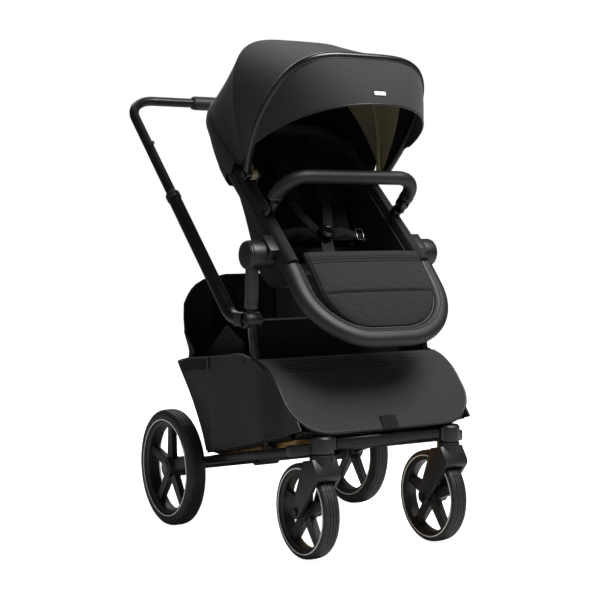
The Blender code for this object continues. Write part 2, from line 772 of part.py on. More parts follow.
fork = caster_fork()
axle = front_axle()
for side, label in SIDES:
    swivel = pivot("caster_axis_" + label, (side * front_x, swivel_y, FORK_SPLIT_HEIGHT), chassis)
    spin = pivot("front_wheel_axis_" + label, at_x(side * front_x, front_axle_place), swivel)
    shift = Vector(((side - 1) * front_x, 0, 0))
    for model, name, look, carrier in ((fork, "caster_fork_", "black plastic", swivel),
                                       (axle, "front_axle_", "satin tube", swivel),
                                       (front_rim, "front_rim_", "black plastic", spin),
                                       (front_tyre, "front_tyre_", "tyre rubber", spin)):
        copied(model, shift, name + label, look, carrier)
for model in (fork, axle, front_rim, front_tyre):
    bpy.data.objects.remove(model)


# Swivel locks: a small lever on the inner rear face of each housing.

def lock_lever(side):
    x = side * (front_x - FORK_STEM_RADIUS - GAP - LOCK_LEVER_THICKNESS / 2)
    y = swivel_y
    z = FORK_SPLIT_HEIGHT + LOCK_LEVER_WIDTH / 2 + 0.001
    boss = cylinder(LOCK_LEVER_WIDTH / 2, LOCK_LEVER_THICKNESS, (x, y, z), X_AXIS, 20)
    arm = rounded(box((LOCK_LEVER_THICKNESS, LOCK_LEVER_LENGTH, LOCK_LEVER_WIDTH * 0.6),
                      (x, y + LOCK_LEVER_LENGTH / 2, z)), 0.0015)
    return fused(boss, settle(arm)), (x, y, z)


for side, label in SIDES:
    lever, place = lock_lever(side)
    lever_axis = pivot("swivel_lock_axis_" + label, place, chassis)
    finish(lever, "swivel_lock_" + label, "black plastic", lever_axis)


# Posts with the knuckle that the handle folds on, and the adapters that carry the seat.

def post_foot(side):
    return Vector((side * RAIL_HALF_SPAN, POST_FOOT_Y,
                   rail_height(POST_FOOT_Y) + RAIL_HEIGHT / 2 + POST_FOOT_RISE))


def post_tube(side):
    x = side * POST_X
    foot = post_foot(side)
    pivot_place = at_x(x, HANDLE_PIVOT)
    top = Vector((x, mix(HANDLE_PIVOT[0], POST_TOP[0], 0.25), ADAPTER_FOOT_HEIGHT - 0.002))
    shoulder = pivot_place + Vector((0, -0.010, -0.055))
    stem = tube([foot, shoulder, pivot_place, top], POST_TUBE_RADIUS)
    knuckle = cylinder(KNUCKLE_RADIUS, 2 * KNUCKLE_HALF_WIDTH, pivot_place, X_AXIS)
    pin = cylinder(FOLD_PIN_RADIUS, 2 * (KNUCKLE_HALF_WIDTH + GAP + CHEEK_THICKNESS),
                   pivot_place, X_AXIS, 12)
    shoe = rounded(box((RAIL_WIDTH, 0.050, 0.008),
                       foot + Vector((0, 0, 0.0008)),
                       math.degrees(math.atan(rail_slope))), 0.004)
    return fused(stem, knuckle, pin, settle(shoe))


def seat_adapter(side):
    """Upright with a round head, whose inner face carries the seat."""
    x = side * POST_X
    low = Vector((x, mix(HANDLE_PIVOT[0], POST_TOP[0], 0.25), ADAPTER_FOOT_HEIGHT))
    stem = rod(ADAPTER_RADIUS, low, at_x(x, HUB_CENTRE) + Vector((0, 0.004, 0)), 28)
    middle = side * (HUB_INNER_FACE + HUB_OUTER_FACE) / 2
    head = rounded(cylinder(HUB_RADIUS, HUB_OUTER_FACE - HUB_INNER_FACE, at_x(middle, HUB_CENTRE),
                            X_AXIS, 24), 0.002)
    cover_x = side * (HUB_OUTER_FACE + HUB_COVER_THICKNESS / 2 - 0.001)
    cover = rounded(cylinder(HUB_COVER_RADIUS, HUB_COVER_THICKNESS + 0.002,
                             at_x(cover_x, HUB_CENTRE), X_AXIS, 24), 0.0018)
    return fused(settle(head), settle(cover), stem)


for side, label in SIDES:
    finish(post_tube(side), "post_tube_" + label, "bare tube", chassis)
    finish(seat_adapter(side), "seat_adapter_" + label, "black plastic", chassis)


# Push handle: two lower tubes that fold on the posts, and a bar that slides in them.

def handle_point(distance, offset=0.0):
    """A point along the rising part of the handle, seen from the side."""
    return beside(HANDLE_BEND, HANDLE_RISE_ANGLE, distance, offset)


def handle_lower(side):
    x = side * POST_X
    # The tube starts clear of the post, however far the handle is folded.
    reach = (HANDLE_TUBE_RADIUS + POST_TUBE_RADIUS + GAP) / math.cos(math.radians(HANDLE_FOLD_ANGLE))
    start = Vector((x, HANDLE_PIVOT[0] + reach + 0.002, HANDLE_PIVOT[1]))
    mouth = at_x(x, handle_point(HANDLE_COLLAR_DISTANCE))
    path = rounded_path([start, at_x(x, HANDLE_BEND), mouth], [HANDLE_BEND_RADIUS], 6)
    main = tube(path, HANDLE_TUBE_RADIUS)
    collar = rod(HANDLE_COLLAR_RADIUS, at_x(x, handle_point(HANDLE_COLLAR_DISTANCE
                                                            - HANDLE_COLLAR_LENGTH)), mouth)
    cheeks = []
    for face in (LEFT, RIGHT):
        middle = x + face * (KNUCKLE_HALF_WIDTH + GAP + CHEEK_THICKNESS / 2)
        disc = cylinder(KNUCKLE_RADIUS, CHEEK_THICKNESS, at_x(middle, HANDLE_PIVOT), X_AXIS)
        strap = box((CHEEK_THICKNESS, reach + 0.022, 2 * KNUCKLE_RADIUS * 0.9),
                    (middle, HANDLE_PIVOT[0] + (reach + 0.022) / 2, HANDLE_PIVOT[1]))
        cheeks += [disc, strap]
    solid = fused(main, collar, *cheeks)
    depth = HANDLE_INSERTION + HANDLE_STROKE + 0.010
    bore = rod(HANDLE_TUBE_RADIUS - HANDLE_TUBE_WALL, at_x(x, handle_point(HANDLE_COLLAR_DISTANCE
               - depth)), at_x(x, handle_point(HANDLE_COLLAR_DISTANCE + 0.010)))
    pin_room = cylinder(FOLD_PIN_RADIUS + GAP, 0.080, at_x(x, HANDLE_PIVOT), X_AXIS, 12)
    return cut(solid, bore, pin_room)


def handle_upper():
    radius = HANDLE_TUBE_RADIUS - HANDLE_TUBE_WALL - GAP
    foot = handle_point(HANDLE_COLLAR_DISTANCE - HANDLE_INSERTION)
    bar = handle_point(HANDLE_BAR_DISTANCE)
    path = rounded_path([at_x(-POST_X, foot), at_x(-POST_X, bar), at_x(POST_X, bar),
                         at_x(POST_X, foot)], [HANDLE_CORNER_RADIUS] * 2, 6)
    solid = tube(path, radius)
    pockets = []
    for side in (LEFT, RIGHT):
        pockets.append(rod(HEIGHT_BUTTON_RADIUS + GAP, *button_line(side, radius, -0.006), 20))
    return cut(solid, *pockets)


def button_line(side, tube_radius, stand):
    """From inside the tube outward to where a button stands, square to the tube."""
    distance = HANDLE_BAR_DISTANCE - HEIGHT_BUTTON_FROM_BAR
    inside = handle_point(distance, -(tube_radius - HEIGHT_BUTTON_TRAVEL - 0.004))
    outside = handle_point(distance, -(tube_radius + max(stand, 0.002)))
    return at_x(side * POST_X, inside), at_x(side * POST_X, outside)


def height_button(side):
    radius = HANDLE_TUBE_RADIUS - HANDLE_TUBE_WALL - GAP
    inside, outside = button_line(side, radius, HEIGHT_BUTTON_STAND)
    step = (outside - inside).normalized() * (HEIGHT_BUTTON_TRAVEL + GAP)
    return settle(rounded(rod(HEIGHT_BUTTON_RADIUS, inside + step, outside, 20), 0.0015))


def handle_grip():
    radius = HANDLE_TUBE_RADIUS - HANDLE_TUBE_WALL - GAP
    bar = handle_point(HANDLE_BAR_DISTANCE)
    sleeve = rounded(cylinder(HANDLE_GRIP_RADIUS, 2 * HANDLE_GRIP_HALF_LENGTH, at_x(0, bar),
                              X_AXIS), 0.0015)
    return cut(settle(sleeve), cylinder(radius + GAP, 4 * HANDLE_GRIP_HALF_LENGTH, at_x(0, bar),
                                        X_AXIS))


handle_fold = pivot("handle_fold_axis", at_x(0, HANDLE_PIVOT), chassis)
handle_slide = pivot("handle_slide_axis", at_x(0, handle_point(HANDLE_COLLAR_DISTANCE)), handle_fold)
for side, label in SIDES:
    finish(handle_lower(side), "handle_lower_" + label, "satin tube", handle_fold)
    press = pivot("height_button_axis_" + label,
                  button_line(side, HANDLE_TUBE_RADIUS, HEIGHT_BUTTON_STAND)[1], handle_slide)
    finish(height_button(side), "height_button_" + label, "black plastic", press)
finish(handle_upper(), "handle_upper", "satin tube", handle_slide)
finish(handle_grip(), "handle_grip", "leatherette", handle_slide)


# Floor board and the cloth tub that stands on it.

board_end = (BOARD_FRONT[0] + BOARD_LENGTH, BOARD_FRONT[1] + BOARD_SLOPE * BOARD_LENGTH)
board_angle = math.degrees(math.atan(BOARD_SLOPE))
tub_half_width = POST_X + POST_TUBE_RADIUS + FABRIC_GAP + CLOTH_THICKNESS


def floor_height(y, above=0.0):
    """Height of the board's upper face, and of what lies on it."""
    return BOARD_FRONT[1] + BOARD_SLOPE * (y - BOARD_FRONT[0]) + above


def floor_board():
    middle = Vector((0, (BOARD_FRONT[0] + board_end[0]) / 2, 0))
    middle.z = floor_height(middle.y) - BOARD_THICKNESS / 2
    length = BOARD_LENGTH / math.cos(math.radians(board_angle))
    return settle(rounded(box((2 * BOARD_HALF_WIDTH, length, BOARD_THICKNESS), middle,
                              board_angle), 0.003))


def side_half_width(y, z):
    """The tub's side, nearer in at its nose and at its waist beside the rear wheel."""
    nose = min(max((-0.300 - y) / 0.060, 0), 1)
    width = mix(tub_half_width, TUB_NOSE_HALF_WIDTH, nose)
    behind = min(max((y + 0.075) / 0.045, 0), 1)
    low = min(max((0.400 - z) / 0.150, 0), 1)
    return width - (tub_half_width - TUB_WAIST_HALF_WIDTH) * behind * low


# The side's lower hem and its upper edge, from the nose to the rear corner.
TUB_HEM = ((-0.424, 0.3060), (-0.355, 0.2870), (-0.272, 0.2670), (-0.190, 0.2465),
           (-0.118, 0.2290), (-0.010, 0.2080))
TUB_EDGE = ((-0.441, 0.3360), (-0.414, 0.3740), (-0.389, 0.4050), (-0.364, 0.4300),
            (-0.338, 0.4480), (-0.273, 0.4620), (-0.205, 0.4620), (-0.140, 0.4550),
            (-0.060, 0.4455), (0.010, 0.4380), (0.068, 0.4315), (0.127, 0.4200))
# The floor's front lip and its run on the board: y and rise over the board.
TUB_LIP = ((-0.430, 0.3040), (-0.403, 0.2965))
TUB_FLOOR_START = -0.376
TUB_FLOOR_END = -0.008
# The back from the floor up: height, y of its middle, half width and depth of its wings.
TUB_BACK = ((0.2010, -0.0060, 0.2490, 0.004), (0.2630, 0.0230, 0.2490, 0.008),
            (0.3020, 0.0520, 0.2520, 0.011), (0.3510, 0.0870, 0.2560, 0.013),
            (0.3970, 0.1260, 0.2575, 0.016), (0.4200, 0.1440, 0.2560, 0.028),
            (0.4380, 0.1540, 0.2540, 0.080), (0.4620, 0.1610, 0.2480, 0.054),
            (0.4900, 0.1650, 0.2400, 0.030), (0.5270, 0.1650, 0.2310, 0.014),
            (0.5650, 0.1650, 0.2230, 0.000), (0.5960, 0.1650, 0.2060, 0.000),
            (0.6160, 0.1645, 0.1850, 0.000), (0.6270, 0.1640, 0.1600, 0.000),
            (0.6360, 0.1640, 0.1030, 0.000))


def tub_side(side):
    """One side, from the floor's edge over the side rail, round the hem and up."""
    rows = []
    last = 14
    for index, (low, high) in enumerate(zip(smooth_line(TUB_HEM, last + 1),
                                            smooth_line(TUB_EDGE, last + 1))):
        hollow = TUB_CORNER_HOLLOW * max(index - last + 3, 0) / 3
        row = []
        if low.x > TUB_FLOOR_START:
            y = min(low.x, TUB_FLOOR_END)
            row.append((side * TUB_SKIRT_HALF_WIDTH, y, floor_height(y, FABRIC_GAP + CLOTH_THICKNESS / 2)))
        else:
            row.append((side * (side_half_width(*low) - 0.012), low.x, low.y - 0.004))
        for step in range(5):
            y, z = low.lerp(high, step / 4)
            y -= hollow * math.sin(math.pi * step / 4)
            row.append((side * (side_half_width(y, z) - CLOTH_THICKNESS / 2), y, z))
        rows.append(row)
    return sheet(rows, CLOTH_THICKNESS, 0.0)


def tub_floor():
    """The floor on the board, with a lip that rises at the front over the crossbar."""
    line = [Vector(point) for point in TUB_LIP]
    for y in (TUB_FLOOR_START, -0.300, -0.200, -0.100, TUB_FLOOR_END):
        line.append(Vector((y, floor_height(y, FABRIC_GAP + CLOTH_THICKNESS / 2))))
    rows = []
    for index, point in enumerate(line):
        half = TUB_SKIRT_HALF_WIDTH if index > 1 else TUB_NOSE_HALF_WIDTH - 0.010
        rows.append([(half * (2 * step / 4 - 1), point.x, point.y) for step in range(5)])
    return sheet(rows, CLOTH_THICKNESS, 0.0)


def tub_back():
    """The high back, whose wings turn forward to the sides."""
    rows = []
    for z, y, half, wing in TUB_BACK:
        half -= CLOTH_THICKNESS / 2
        wall = [(-half, y - wing, z), (-half + 0.004, y - 0.5 * wing, z),
                (-half + 0.014, y - 0.12 * wing, z), (-half + 0.032, y, z), (-half / 2, y, z)]
        rows.append(wall + [(0, y, z)] + [(-spot[0], spot[1], spot[2]) for spot in wall[::-1]])
    return sheet(rows, CLOTH_THICKNESS, 0.0)


def basket_tub():
    """Two sides, a floor on the board and a high back, in one cloth shell."""
    solid = fused(tub_floor(), tub_back(), tub_side(LEFT), tub_side(RIGHT))
    posts = []
    for side in (LEFT, RIGHT):
        foot = post_foot(side)
        shoulder = at_x(side * POST_X, HANDLE_PIVOT) + Vector((0, -0.010, -0.055))
        posts.append(rod(POST_TUBE_RADIUS + FABRIC_GAP, foot + (foot - shoulder) * 0.2, shoulder))
    return cut(solid, *posts)


def basket_divider():
    """An upright panel across the tub behind the posts, with a bound top edge."""
    low = floor_height(DIVIDER_Y, CLOTH_THICKNESS + 2 * FABRIC_GAP)
    panel = rounded(box((2 * DIVIDER_HALF_WIDTH, DIVIDER_THICKNESS, DIVIDER_TOP - low),
                        (0, DIVIDER_Y, (DIVIDER_TOP + low) / 2)), 0.002)
    return settle(panel)


finish(floor_board(), "floor_board", "board wood", chassis)
finish(basket_tub(), "basket_tub", "shell cloth", chassis)
finish(basket_divider(), "basket_divider", "lining cloth", chassis)


# Front lid, hinged along its upper edge.
LID_LINE = (LID_HINGE, (-0.308, 0.4440), (-0.352, 0.4170), (-0.396, 0.3700), (-0.4325, 0.3215),
            LID_FRONT)


def basket_lid():
    line = smooth_line(LID_LINE, 12)
    lid_half_width = TUB_NOSE_HALF_WIDTH - CLOTH_THICKNESS - GAP
    lengths = [0.0]
    for before, after in zip(line, line[1:]):
        lengths.append(lengths[-1] + (after - before).length)
    rows = []
    for point, length in zip(line, lengths):
        near = min(lengths[-1] - length, LID_CORNER_RADIUS)
        far = LID_CORNER_RADIUS - near
        half = lid_half_width - LID_CORNER_RADIUS + math.sqrt(LID_CORNER_RADIUS ** 2 - far ** 2)
        rows.append([(half * (2 * step / 8 - 1), point.x, point.y) for step in range(9)])
    return sheet(rows, LID_THICKNESS, 1.0)


lid_axis = pivot("basket_lid_axis", at_x(0, LID_HINGE), chassis)
finish(basket_lid(), "basket_lid", "shell cloth", lid_axis)


# Seat: places are a distance up the side rail and a depth under it.

def seat_point(distance, depth=0.0):
    return beside(SEAT_RAIL_FOOT, SEAT_RAIL_ANGLE, distance, depth)


seat_up = Vector((0, -math.sin(math.radians(SEAT_RAIL_ANGLE)),
                  math.cos(math.radians(SEAT_RAIL_ANGLE))))
loop_up = Vector((0, -math.sin(math.radians(LOOP_ANGLE)), math.cos(math.radians(LOOP_ANGLE))))


def seat_frame():
    """One tube up both sides and across behind the head."""
    foot = seat_point(GAP)
    top = seat_point(SEAT_RAIL_LENGTH)
    path = rounded_path([at_x(-SEAT_RAIL_HALF_SPAN, foot), at_x(-SEAT_RAIL_HALF_SPAN, top),
                         at_x(SEAT_RAIL_HALF_SPAN, top), at_x(SEAT_RAIL_HALF_SPAN, foot)],
                        [SEAT_TOP_CORNER_RADIUS] * 2, 7)
    return tube(path, SEAT_RAIL_RADIUS)


def leg_loop():
    """An oval tube that closes the frame round the footrest."""
    foot = SEAT_RAIL_FOOT
    bottom = along(foot, LOOP_ANGLE, -LOOP_LENGTH)
    path = rounded_path([at_x(-SEAT_RAIL_HALF_SPAN, foot), at_x(-SEAT_RAIL_HALF_SPAN, bottom),
                         at_x(SEAT_RAIL_HALF_SPAN, bottom), at_x(SEAT_RAIL_HALF_SPAN, foot)],
                        [LOOP_CORNER_RADIUS] * 2, 8)
    solid = swept(path, oval(LOOP_WIDTH, LOOP_THICKNESS), loop_up)
    # The end faces meet the side tubes square to them.
    clear = box((1, 0.2, 0.2), at_x(0, seat_point(0.1 - GAP)), SEAT_RAIL_ANGLE)
    return cut(solid, clear)


def seat_hub(side):
    """The plate on the seat's side that turns on the adapter, with its arm to the rail."""
    inner = SEAT_RAIL_HALF_SPAN + SEAT_RAIL_RADIUS + GAP
    outer = HUB_INNER_FACE - GAP
    middle = side * (inner + outer) / 2
    disc = cylinder(HUB_RADIUS - 0.004, outer - inner, at_x(middle, HUB_CENTRE), X_AXIS, 24)
    reach = Vector(HUB_CENTRE) - Vector(SEAT_RAIL_FOOT)
    line = Vector((math.cos(math.radians(SEAT_RAIL_ANGLE)), math.sin(math.radians(SEAT_RAIL_ANGLE))))
    seat_spot = Vector(SEAT_RAIL_FOOT) + line * reach.dot(line)
    arm_centre = (Vector(HUB_CENTRE) + seat_spot) / 2
    arm = box((outer - inner, 0.052, (seat_spot - Vector(HUB_CENTRE)).length + 0.020),
              at_x(middle, arm_centre), SEAT_RAIL_ANGLE)
    return fused(disc, arm)


# Depth of the cloth seat under the rail, at some distances up the rail.
SHELL_DEPTHS = ((0.012, 0.030), (0.034, 0.090), (0.083, 0.138), (0.150, 0.150), (0.220, 0.125),
                (0.300, 0.095), (0.420, 0.060), (0.490, 0.038))


def shell_point(share):
    """The middle of the seat's underside, from the footrest to the head."""
    spot = smooth_line(SHELL_DEPTHS, 41)[round(40 * share)]
    return spot.x, spot.y


def rail_room(distance):
    """How far out the space between the side rails reaches, at a distance up the rail."""
    rise = max(distance - (SEAT_RAIL_LENGTH - SEAT_TOP_CORNER_RADIUS), 0)
    bend = SEAT_TOP_CORNER_RADIUS - math.sqrt(SEAT_TOP_CORNER_RADIUS ** 2 - rise ** 2)
    return SEAT_RAIL_HALF_SPAN - SEAT_RAIL_RADIUS - 1.6 * bend


def seat_shell():
    """The cloth bucket between the side rails."""
    rows = []
    for index in range(13):
        distance, depth = shell_point(index / 12)
        rail = Vector(seat_point(distance))
        floor = Vector(seat_point(distance, depth))
        room = rail_room(distance) - SHELL_THICKNESS / 2 - GAP
        row = []
        for side in (RIGHT, LEFT):
            wall = []
            for step in range(4):
                place = rail.lerp(floor, step / 3)
                half = mix(room, min(SHELL_HALF_WIDTH_FLOOR, room), step / 3)
                wall.append(at_x(side * half, place))
            row += wall if side == RIGHT else wall[::-1]
        half = min(SHELL_HALF_WIDTH_FLOOR, room)
        middle = [at_x(half * (2 * step / 6 - 1), floor) for step in range(1, 6)]
        rows.append(row[:4] + middle + row[4:])
    return sheet(rows, SHELL_THICKNESS, 0.0)


def pad_spine(points, count):
    """Places along a line in the side view, with the normal on its upper side."""
    line = smooth_line(points, count)
    spine = []
    for index, point in enumerate(line):
        ahead = line[min(index + 1, count - 1)] - line[max(index - 1, 0)]
        ahead.normalize()
        normal = Vector((0, -ahead.y, ahead.x))
        spine.append((at_x(0, point), normal))
    return spine


def lifted(point, rise):
    return (point[0], point[1] + rise)


def seat_cushion():
    clear = SHELL_THICKNESS / 2 + CUSHION_THICKNESS / 2 + FABRIC_GAP
    points = [seat_point(0.050, 0.096 - 0.8 * clear), seat_point(0.088, 0.136 - clear),
              seat_point(0.138, 0.150 - clear)]
    spine = pad_spine(points, 9)
    return pad(spine, [CUSHION_HALF_WIDTH] * 9, CUSHION_THICKNESS, 0.004)


def backrest_pad():
    clear = SHELL_THICKNESS / 2 + BACKREST_THICKNESS / 2 + 2 * FABRIC_GAP
    points = [seat_point(0.205, 0.130 - clear), seat_point(0.300, 0.094 - clear),
              seat_point(0.420, 0.060 - clear), seat_point(0.484, 0.040 - clear)]
    spine = pad_spine(points, 13)
    halves = []
    for index in range(13):
        room = rail_room(mix(0.205, 0.490, index / 12)) - 4 * SHELL_THICKNESS
        halves.append(min(CUSHION_HALF_WIDTH - 0.004, room))
    return pad(spine, halves, BACKREST_THICKNESS, 0.004, (4, 8))


def backrest_cover():
    """Cloth tray behind the upper half of the frame, whose sides wrap the side rails."""
    wall = SEAT_RAIL_HALF_SPAN + SEAT_RAIL_RADIUS + COVER_SIDE_GAP + CLOTH_THICKNESS / 2
    bend = SEAT_TOP_CORNER_RADIUS + wall - SEAT_RAIL_HALF_SPAN
    end = SEAT_RAIL_LENGTH + SEAT_RAIL_RADIUS
    rows = []
    for index in range(10):
        distance = mix(COVER_START, end, math.sin(math.pi / 2 * index / 9))
        rise = max(distance - (SEAT_RAIL_LENGTH - SEAT_TOP_CORNER_RADIUS), 0)
        half = wall - bend + math.sqrt(bend ** 2 - rise ** 2)
        depth = table_value(SHELL_DEPTHS, distance, 1) + COVER_BACK_ROOM
        depth -= max(distance - SHELL_DEPTHS[-1][0], 0) * 0.6
        corner = min(0.035, 0.55 * depth)
        side = [(half, 0.0), (half, 0.5 * corner), (half - 0.004, corner),
                (half - 0.012, mix(corner, depth, 0.62)), (0.82 * half, depth)]
        row = [at_x(-x, seat_point(distance, low)) for x, low in side]
        row.append(at_x(0, seat_point(distance, depth)))
        row += [at_x(x, seat_point(distance, low)) for x, low in side[::-1]]
        rows.append(row)
    return sheet(rows, CLOTH_THICKNESS, 0.0)


def loop_room(height):
    """Half of the space inside the leg loop, at a height over the middle of its lowest bar."""
    bend = LOOP_CORNER_RADIUS - LOOP_WIDTH / 2
    low = min(max(LOOP_CORNER_RADIUS - height, 0), bend)
    return SEAT_RAIL_HALF_SPAN - LOOP_CORNER_RADIUS + math.sqrt(bend ** 2 - low ** 2)


def footrest_pad():
    """The calf pad inside the loop, with a cross seam and channels near its top."""
    rows = 17
    top = Vector(FOOTREST_TOP)
    foot = Vector(along(FOOTREST_TOP, FOOTREST_ANGLE, -FOOTREST_LENGTH))
    bow = Vector(beside(FOOTREST_TOP, FOOTREST_ANGLE, -FOOTREST_LENGTH / 2, -0.006))
    spine = pad_spine([foot, bow, top], rows)
    loop_line = Vector(along((0, 0), LOOP_ANGLE, 1))
    loop_bottom = Vector(along(SEAT_RAIL_FOOT, LOOP_ANGLE, -LOOP_LENGTH))
    halves = []
    for place, normal in spine:
        height = (Vector((place.y, place.z)) - loop_bottom).dot(loop_line)
        halves.append(min(FOOTREST_HALF_WIDTH, loop_room(height) - FABRIC_GAP))
    return pad(spine, halves, FOOTREST_THICKNESS, 0.003, (8, 12, 14))


seat_axis = pivot("seat_recline_axis", at_x(0, HUB_CENTRE), chassis)
finish(seat_frame(), "seat_frame", "shell cloth", seat_axis)
finish(leg_loop(), "leg_loop", "black plastic", seat_axis)
for side, label in SIDES:
    finish(seat_hub(side), "seat_hub_" + label, "black plastic", seat_axis)
finish(seat_shell(), "seat_shell", "shell cloth", seat_axis)
finish(seat_cushion(), "seat_cushion", "lining cloth", seat_axis)
finish(backrest_pad(), "backrest_pad", "lining cloth", seat_axis)
finish(footrest_pad(), "footrest_pad", "shell cloth", seat_axis)
finish(backrest_cover(), "backrest_cover", "shell cloth", seat_axis)


# Harness: shoulder straps with pads, a waist strap and a crotch strap that meet at a buckle.
BUCKLE_PLACE = (-0.1640, 0.7420)
STRAP_SECTION = soft_box(STRAP_WIDTH, STRAP_THICKNESS, 0.0012)
shoulder_slot = seat_point(0.430, 0.0185)
shoulder_turn = seat_point(0.260, 0.040)
waist_slot = seat_point(0.190, 0.085)
crotch_slot = seat_point(0.085, 0.0880)


def harness_straps():
    """Five straps joined behind the buckle."""
    centre = at_x(0, BUCKLE_PLACE)
    facing = Vector((0, -0.75, 0.66))
    straps = []
    for side in (LEFT, RIGHT):
        upper = at_x(side * SHOULDER_SPREAD, shoulder_slot)
        lower = at_x(side * SHOULDER_SPREAD * 0.9, shoulder_turn)
        straps.append(swept([upper, lower, centre + X_AXIS * side * 0.008], STRAP_SECTION, facing))
        straps.append(swept([at_x(side * 0.150, waist_slot), at_x(side * 0.060, seat_point(0.178, 0.050)),
                             centre], STRAP_SECTION, facing))
    straps.append(swept([centre, at_x(0, crotch_slot)], STRAP_SECTION, Vector((0, -1, 0.3))))
    hub = cylinder(BUCKLE_RADIUS * 0.8, 0.008, centre, facing, 20)
    return fused(hub, *straps)


def shoulder_pad(side):
    """A soft sleeve on the front of each shoulder strap."""
    upper = Vector(at_x(side * SHOULDER_SPREAD, shoulder_slot))
    lower = Vector(at_x(side * SHOULDER_SPREAD * 0.9, shoulder_turn))
    ahead = (lower - upper).normalized()
    normal = X_AXIS.cross(ahead).normalized()
    if normal.z < 0:
        normal.negate()
    rise = normal * (STRAP_THICKNESS / 2 + GAP + SHOULDER_PAD_THICKNESS / 2 + 0.0008)
    start, end = upper.lerp(lower, 0.10) + rise, upper.lerp(lower, 0.92) + rise
    section = soft_box(SHOULDER_PAD_WIDTH, SHOULDER_PAD_THICKNESS, 0.0055)
    return swept([start, start.lerp(end, 0.5), end], section, normal)


def harness_buckle():
    facing = Vector((0, -0.75, 0.66)).normalized()
    rise = 0.004 + GAP + BUCKLE_THICKNESS / 2
    body = rounded(cylinder(BUCKLE_RADIUS, BUCKLE_THICKNESS, at_x(0, BUCKLE_PLACE) + facing * rise,
                            facing, 24), 0.003)
    return settle(body)


finish(harness_straps(), "harness_straps", "webbing", seat_axis)
finish(harness_buckle(), "harness_buckle", "black plastic", seat_axis)
for side, label in SIDES:
    finish(shoulder_pad(side), "shoulder_pad_" + label, "lining cloth", seat_axis)


# Bumper bar: a padded bow that swings on two sockets on the side rails.

def bumper_socket(side):
    """A short stub from the rail to the bar's hinge."""
    x = side * SEAT_RAIL_HALF_SPAN
    pivot_place = at_x(side * BUMPER_HALF_SPAN, BUMPER_PIVOT)
    reach = Vector(BUMPER_PIVOT) - Vector(SEAT_RAIL_FOOT)
    line = Vector((math.cos(math.radians(SEAT_RAIL_ANGLE)), math.sin(math.radians(SEAT_RAIL_ANGLE))))
    rail_spot = Vector(SEAT_RAIL_FOOT) + line * reach.dot(line)
    upward = (Vector(BUMPER_PIVOT) - rail_spot).normalized()
    start = rail_spot + upward * (SEAT_RAIL_RADIUS - 0.002)
    neck_foot = Vector(BUMPER_PIVOT) - upward * (BUMPER_SOCKET_RADIUS + 0.002)
    stem = rod(BUMPER_SOCKET_RADIUS, at_x(x, start), at_x(x, neck_foot))
    neck_turn = math.degrees(math.atan2(upward.y, upward.x)) - 90
    neck = box((0.012, 2 * BUMPER_SOCKET_RADIUS, 0.020),
               at_x(pivot_place.x, Vector(BUMPER_PIVOT) - upward * 0.010), neck_turn)
    knuckle = cylinder(BUMPER_SOCKET_RADIUS, 0.012, pivot_place, X_AXIS)
    pin = cylinder(0.004, 0.034, pivot_place, X_AXIS, 12)
    rail = cylinder(SEAT_RAIL_RADIUS + GAP, 0.2, at_x(x, rail_spot),
                    at_x(0, line), 24)
    return cut(fused(knuckle, neck, stem, pin), rail)


def bumper_bar():
    """The bow, with a fork at each end around the socket's knuckle."""
    ahead = (Vector(BUMPER_BAR) - Vector(BUMPER_PIVOT)).normalized()
    start = Vector(BUMPER_PIVOT) + ahead * (BUMPER_SOCKET_RADIUS + 0.004)
    path = rounded_path([at_x(-BUMPER_HALF_SPAN, start), at_x(-BUMPER_HALF_SPAN, BUMPER_BAR),
                         at_x(BUMPER_HALF_SPAN, BUMPER_BAR), at_x(BUMPER_HALF_SPAN, start)],
                        [BUMPER_CORNER_RADIUS] * 2, 5)
    parts = []
    for side in (LEFT, RIGHT):
        for face in (LEFT, RIGHT):
            middle = side * BUMPER_HALF_SPAN + face * (0.006 + GAP + 0.0025)
            parts.append(cylinder(BUMPER_SOCKET_RADIUS, 0.005, at_x(middle, BUMPER_PIVOT), X_AXIS))
            parts.append(box((0.005, 2 * BUMPER_SOCKET_RADIUS, 0.030),
                             at_x(middle, Vector(BUMPER_PIVOT) + ahead * 0.013),
                             math.degrees(math.atan2(ahead.y, ahead.x)) - 90))
    solid = fused(tube(path, BUMPER_RADIUS), *parts)
    rooms = [cylinder(0.004 + GAP, 0.060, at_x(side * BUMPER_HALF_SPAN, BUMPER_PIVOT), X_AXIS, 12)
             for side in (LEFT, RIGHT)]
    return cut(solid, *rooms)


bumper_axis = pivot("bumper_axis", at_x(0, BUMPER_PIVOT), seat_axis)
for side, label in SIDES:
    finish(bumper_socket(side), "bumper_socket_" + label, "black plastic", seat_axis)
finish(bumper_bar(), "bumper_bar", "leatherette", bumper_axis)


# Canopy: arches round the pivot. An angle rises from the rear, a turn runs along the arch.

def arch_point(arch, turn, inset=0.0, foot_half_width=CANOPY_FOOT_HALF_WIDTH):
    degrees, height, squareness, half_width = arch
    climb = math.sin(turn) ** (2 / squareness)
    half_width -= inset
    reach = half_width * abs(math.cos(turn)) ** (2 / squareness)
    draw_in = max(1 - climb / ARCH_DRAW_IN, 0) ** 2 * min(2 * abs(math.cos(turn)), 1)
    reach -= (half_width - foot_half_width) * draw_in
    return at_x(math.copysign(reach, math.cos(turn)),
                along(CANOPY_PIVOT, degrees, (height - inset) * climb))


def foot_turn(arch, foot):
    """The turn at which an arch is a given distance from the pivot."""
    return math.asin((foot / arch[1]) ** (arch[2] / 2))


def arch_turns(arch, foot, count):
    """Turns along an arch from foot to foot, closer together on its rounded corners."""
    low = foot_turn(arch, foot)
    turns = []
    for step in range(count + 1):
        share = step / count
        eased = share + 0.04 * math.sin(4 * math.pi * share)
        turns.append(low + (math.pi - 2 * low) * eased)
    return turns


